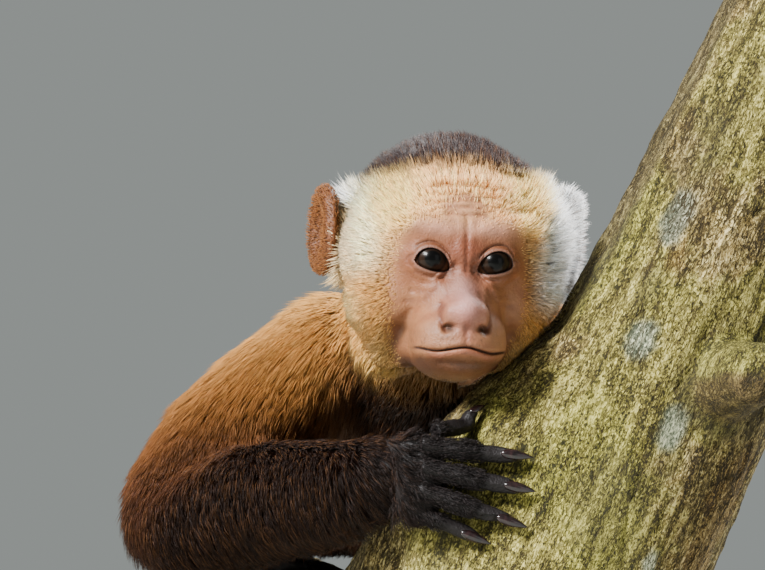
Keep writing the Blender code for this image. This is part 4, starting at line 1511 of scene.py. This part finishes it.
def stand_base(wood):
    """A board with round corners and a rounded upper rim."""
    bm = bmesh.new()
    size = Matrix.Diagonal((*(part * MM for part in BASE_MM), 1))
    lifted = Matrix.Translation((0, 0, BASE_MM[2] / 2 * MM))
    bmesh.ops.create_cube(bm, size=1, matrix=lifted @ size)
    upright = [edge for edge in bm.edges if abs(edge.verts[0].co.z - edge.verts[1].co.z) > MM]
    bmesh.ops.bevel(bm, geom=upright, offset=BASE_CORNER_MM * MM, segments=CORNER_FACES,
                    profile=0.5, affect="EDGES")
    top = (BASE_MM[2] - 1) * MM
    rim = [edge for edge in bm.edges if min(vert.co.z for vert in edge.verts) > top]
    bmesh.ops.bevel(bm, geom=rim, offset=BASE_RIM_MM * MM, segments=RIM_FACES,
                    profile=0.5, affect="EDGES")
    board = new_object("stand_board", mesh_from(bm), wood)
    board.data.set_sharp_from_angle(angle=SHARP_ANGLE)
    return board


def stand_rod(name, steel):
    """A steel rod in the place of the stand's plainer one."""
    low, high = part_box(name)
    middle, size = (low + high) / 2, high - low
    bm = bmesh.new()
    radius = size.x / 2
    bmesh.ops.create_cone(bm, cap_ends=True, segments=ROD_FACES, radius1=radius,
                          radius2=radius, depth=size.z, matrix=Matrix.Translation(middle))
    rod = new_object(f"{name}_turned", mesh_from(bm), steel)
    rod.data.set_sharp_from_angle(angle=SHARP_ANGLE)
    return rod


# ---------------------------------------------------------------- eyes and nails
GAZE = (-0.03, -1.0, 0.01)
CORNEA_MM = 0.9
# How far from the pole the cornea's bulge ends, of the eyeball's radius
CORNEA_EDGE = (0.1, 0.62)


def eyeball(side, made_of):
    """An eyeball whose pole is the pupil, with the cornea's bulge in front."""
    mesh = mesh_from(ball(64, 48))
    places = points_of(mesh)
    from_pole = np.hypot(places[:, 0], places[:, 1])
    front = places[:, 2] > 0
    reach = EYEBALL_MM + CORNEA_MM * (1 - ramp(*CORNEA_EDGE, from_pole)) * front
    turn = np.array(Vector(GAZE).normalized().to_track_quat("Z", "Y").to_matrix())
    points = (places * reach[:, None]) @ turn.T + EYE_MM * np.array([SIDES[side], 1, 1])
    move_points(mesh, from_head(points))
    set_values(mesh, "from_pupil", np.where(front, from_pole, 1))
    return new_object(f"eyeball_{side}", mesh, made_of)


# Length, width and height of a nail, and how far flesh ends short of its point
NAIL_MM = {"hand": (12.0, 4.6, 2.7), "foot": (8.0, 4.2, 2.4), "thumb": (7.5, 4.0, 2.2)}
FLESH_SHORT_MM = 3.8
NAIL_BED_MM = 8.0
TIP_ZONE_MM = 12


def digit_frame(digit, palm, wood):
    """A digit's far end, the way it points, the way its back faces, and its back's height."""
    points = points_of(NODES[digit].data)
    middle = points.mean(0)
    way = np.linalg.svd(points - middle, full_matrices=False)[2][0]
    if way @ (middle - middle_of(palm)) < 0:
        way = -way
    reach = (points - middle) @ way
    end = points[reach > reach.max() - 2 * MM].mean(0)
    end = end + way * (reach.max() - (end - middle) @ way)
    bed = end - way * NAIL_BED_MM * MM
    back = bed - np.array(wood.find_nearest(bed)[0])
    back = unit(back - way * (back @ way))
    near = np.abs((points - bed) @ way) < 4 * MM
    height = ((points[near] - bed) @ back).max()
    return end, way, back, height


def shortened_tips(mesh, frames):
    """Draws the flesh of each digit back from under the point of its nail."""
    points = points_of(mesh)
    for end, way, back, _ in frames.values():
        offset = points - end
        along = offset @ way / MM
        near = (along > -NAIL_BED_MM) & (np.linalg.norm(offset, axis=1) < TIP_ZONE_MM * MM)
        share = (along[near] + NAIL_BED_MM) / NAIL_BED_MM
        points[near] -= (np.clip(share, 0, 1.3) * FLESH_SHORT_MM * MM)[:, None] * way
        points[near] -= (0.6 * MM * ramp(0, 0.4, share))[:, None] * back
    move_points(mesh, points)


def nail(digit, palm, frame_of, made_of):
    """A long, narrow, arched nail that lies on the digit's back and ends in a point."""
    length, width, height = NAIL_MM["thumb" if digit.startswith("thumb") else palm.split("_")[0]]
    end, way, back, rise = frame_of
    mesh = mesh_from(ball(24, 18))
    along, across, up = points_of(mesh)[:, [2, 0, 1]].T
    t = (along + 1) / 2
    across = across * width / 2 * (1 - 0.70 * t ** 2)
    up = up * height / 2 * (1 - 0.55 * t) - 0.14 * across ** 2
    up += rise / MM - 0.7 - (rise / MM + 0.4) * t ** 2.4 * 0.75
    places = np.stack([(along - 1) * length / 2 + 0.4, across, up], 1) * MM
    axes = np.stack([way, np.cross(back, way), back])
    move_points(mesh, places @ axes + end)
    return new_object(f"nail_{digit}", mesh, made_of)


# ---------------------------------------------------------------- making the monkey
DIGITS = {palm: [f"{digit}_{side}" for digit in digits]
          for palm, (digits, side, _) in HANDS_AND_FEET.items()}
EXTREMITIES = [name for palm, digits in DIGITS.items() for name in (palm, *digits)]
ALL_FLESH = [*HEAD_NODES, *BODY, *EXTREMITIES]
# Each piece's nodes, tufts, the radius of a tuft in millimetres and how far its locks stand
# apart. The head's are parted by height. A real hair is about 0.06 mm thick and too fine to
# show, so each tuft stands for several
COAT_PIECES = [
    ("coat_crown", HEAD_NODES, 26000, 0.14, 1.0),
    ("coat_temples", HEAD_NODES, 29000, 0.14, 1.0),
    ("coat_cheeks", HEAD_NODES, 29000, 0.14, 1.0),
    ("coat_chest", ["neck", "chest"], 28000, 0.18, 1.0),
    ("coat_right_upper_arm", ["upper_arm_right"], 25000, 0.15, 1.0),
    ("coat_right_forearm", ["forearm_right", "hand_right", *DIGITS["hand_right"]], 27000,
     0.15, 1.0),
    ("coat_left_arm", ["upper_arm_left", "forearm_left", "hand_left", *DIGITS["hand_left"]],
     14000, 0.20, 1.4),
    ("coat_belly", ["belly", "hips"], 28000, 0.19, 1.9),
    ("coat_legs", [f"{part}_{side}" for side in SIDES
                   for part in ("thigh", "shank", "foot", *TOES)], 25000, 0.17, 1.8),
    ("coat_tail", TAIL, 18000, 0.18, 1.8),
]
HEAD_BANDS_MM = {"coat_crown": (24, 99), "coat_temples": (-2, 24), "coat_cheeks": (-99, -2)}
FIRST_SEED = 11
FINGER_ROOT_HAIR_MM = 4.8
# Hair is shortened where the wood is nearer than this
WIDEST_ROOM_MM = 20
SHARE_BLEND_MM = 7
# The plain wood that hair and nails are measured from
PLAIN_WOOD_VOXEL_MM, PLAIN_WOOD_SMOOTHING = 4, 1


def skin_fields(mesh, names, shares, wood, digit_frames):
    """What the coat needs to know at each point of the skin."""
    points, normals = points_of(mesh), normals_of(mesh)
    head_points = to_head(points)
    x, _, z = head_points.T
    length = coat_length(shares, names, head_points)
    room = np.full(len(points), float(WIDEST_ROOM_MM))
    for row, point in enumerate(points):
        found = wood.find_nearest(point, WIDEST_ROOM_MM * MM)[3]
        if found is not None:
            room[row] = found / MM
    for digit, (end, way, _, _) in digit_frames.items():
        share = shares[:, names.index(digit)]
        behind = (end - points) @ way / MM
        root_hair = FINGER_ROOT_HAIR_MM * ramp(15, 25, behind)
        length += (root_hair - length) * ramp(0.3, 0.6, share)
    length = np.minimum(length, 1.5 + 0.75 * room)
    head, tuft = share_of(shares, names, HEAD_NODES), white_tuft(head_points)
    side = ramp(19, 27, np.abs(x)) * ramp(-20, -6, z)
    under_jaw = ramp(-14, -26, z) * ramp(1.3, 1.6, bare_reach(head_points))
    lift = 18 - 7 * head + head * (26 * cap_share(head_points) + np.where(x > 0, 38, 6) * side
                                   + 52 * tuft + 22 * under_jaw)
    faces = np.empty(len(mesh.loop_triangles) * 3, np.int32)
    mesh.loop_triangles.foreach_get("vertices", faces)
    density = ramp(0.5, 4.2, length) * (1 - 0.93 * wrinkled_brow(head_points)) * (1 - 0.55 * tuft)
    return {
        "points": points, "normals": normals, "faces": faces.reshape(-1, 3),
        "flow": coat_flow(normals, shares, names, head_points),
        "length": length, "lift": lift, "colour": hair_colour(shares, names, head_points),
        "density": density, "glint": GLINT_DEPTH * (1 - share_of(shares, names, EXTREMITIES)),
    }


def finished_skin(mesh, shares, head_points, coat_colours):
    """The skin with its markings and its three kinds: bare face, black hands, under the coat."""
    extremity = share_of(shares, ALL_FLESH, EXTREMITIES)
    ears = ear_zone(head_points)
    bare = bare_share(head_points) * share_of(shares, ALL_FLESH, HEAD_NODES)
    colours = coat_colours * UNDER_COAT_TONE
    colours += (face_skin_colour(head_points) - colours) * bare[:, None]
    set_colours(mesh, "markings", painted(colours, (ears, BARE_EAR), (extremity, HAND_SKIN)))
    haired = (np.maximum(bare, ears) < 0.5) & (extremity < 0.5)
    kinds = np.where(extremity > 0.5, 1, np.where(haired, 2, 0))
    skin = new_object("monkey_skin", mesh, bare_skin(), black_skin(), haired_skin())
    mesh.polygons.foreach_set("material_index", np.array(
        [kinds[polygon.vertices[0]] for polygon in mesh.polygons], np.int32))
    return skin


def main():
    skin_mesh = body_skin()
    plain_wood = fused([solid_copy(name, 0) for name in PERCH_NODES], PLAIN_WOOD_VOXEL_MM,
                       PLAIN_WOOD_SMOOTHING)
    wood_tree = tree_of(plain_wood)
    digit_frames = {digit: digit_frame(digit, palm, wood_tree)
                    for palm, digits in DIGITS.items() for digit in digits}
    shortened_tips(skin_mesh, digit_frames)
    shares = nearness(points_of(skin_mesh), node_trees(ALL_FLESH), SHARE_BLEND_MM)
    fields = skin_fields(skin_mesh, ALL_FLESH, shares, wood_tree, digit_frames)
    head_points = to_head(fields["points"])
    skin = finished_skin(skin_mesh, shares, head_points, fields["colour"])
    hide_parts(*ALL_FLESH)
    built = [skin]

    first_corners = fields["faces"][:, 0]
    face_owner = np.array(ALL_FLESH)[shares.argmax(1)][first_corners]
    height = head_points[first_corners, 2]
    hair = monkey_hair()
    for seed, (name, nodes, count, width, parting) in enumerate(COAT_PIECES, FIRST_SEED):
        low, high = HEAD_BANDS_MM.get(name, (-math.inf, math.inf))
        chosen = np.isin(face_owner, nodes) & (height > low) & (height <= high)
        piece = coat_piece(name, fields, chosen, count, width, parting, seed, hair)
        built.append(piece)

    eye = wet_eye()
    for side in SIDES:
        eye_piece = eyeball(side, eye)
        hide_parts(f"eye_{side}")
        built.append(eye_piece)
    horn = black_horn()
    for palm, digits in DIGITS.items():
        for digit in digits:
            piece = nail(digit, palm, digit_frames[digit], horn)
            built.append(piece)

    wood = perch(mossy_bark(), sawn_wood())
    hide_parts(*PERCH_NODES)
    board = stand_base(stained_wood())
    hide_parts("stand_base")
    built += [wood, board]
    steel = brushed_steel()
    for name in ("stand_rod_front", "stand_rod_rear"):
        rod = stand_rod(name, steel)
        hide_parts(name)
        built.append(rod)
    for piece in built:
        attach(piece, "root")


# ---------------------------------------------------------------- the studio
FLOOR_COLOUR, AIR_COLOUR, AIR_STRENGTH = "b9bcb4", "d4dbd8", 0.42
FLOOR_HALF = 6
LIGHTS_AIM = Vector((-0.01, -0.1, 0.36))
# Each lamp's place, its width and its power in watts
LAMPS = {
    "key_light": ((-1.6, -1.4, 1.8), 0.7, 235),
    "fill_light": ((1.6, -1.6, 0.7), 1.4, 6),
    "rim_light": ((0.9, 0.9, 1.6), 0.8, 85),
}
CAMERA_PLACE, CAMERA_LENS_MM, CAMERA_FILM_MM = (-0.033, -2.61, 0.3915), 317.6, 36


@finish("matt_studio_floor", Roughness=0.9, Specular_IOR_Level=0.2,
        Base_Color=rgba(FLOOR_COLOUR))
def floor_paint(add):
    """Matt pale floor paint, the same all over."""
    return {}


def placed(name, data, place, rotation):
    obj = bpy.data.objects.new(name, data)
    obj.location = place
    obj.rotation_euler = rotation
    bpy.context.scene.collection.objects.link(obj)
    return obj


def studio():
    """A pale floor, soft light from the upper left, and the camera on the monkey's face."""
    bm = bmesh.new()
    bmesh.ops.create_grid(bm, x_segments=1, y_segments=1, size=FLOOR_HALF)
    floor = new_object("studio_floor", mesh_from(bm), floor_paint(), smooth=False)
    world = bpy.data.worlds.new("studio_air")
    world.use_nodes = True
    wire(world.node_tree.nodes["Background"],
         {"Color": rgba(AIR_COLOUR), "Strength": AIR_STRENGTH})
    bpy.context.scene.world = world
    for name, (place, size, power) in LAMPS.items():
        lamp = bpy.data.lights.new(name, "AREA")
        lamp.size = size
        lamp.energy = power
        placed(name, lamp, place, (LIGHTS_AIM - Vector(place)).to_track_quat("-Z", "Y").to_euler())
    lens = bpy.data.cameras.new("camera")
    lens.lens = CAMERA_LENS_MM
    lens.sensor_width = CAMERA_FILM_MM
    level = (math.radians(90), 0, 0)
    bpy.context.scene.camera = placed("camera", lens, CAMERA_PLACE, level)


main()
studio()
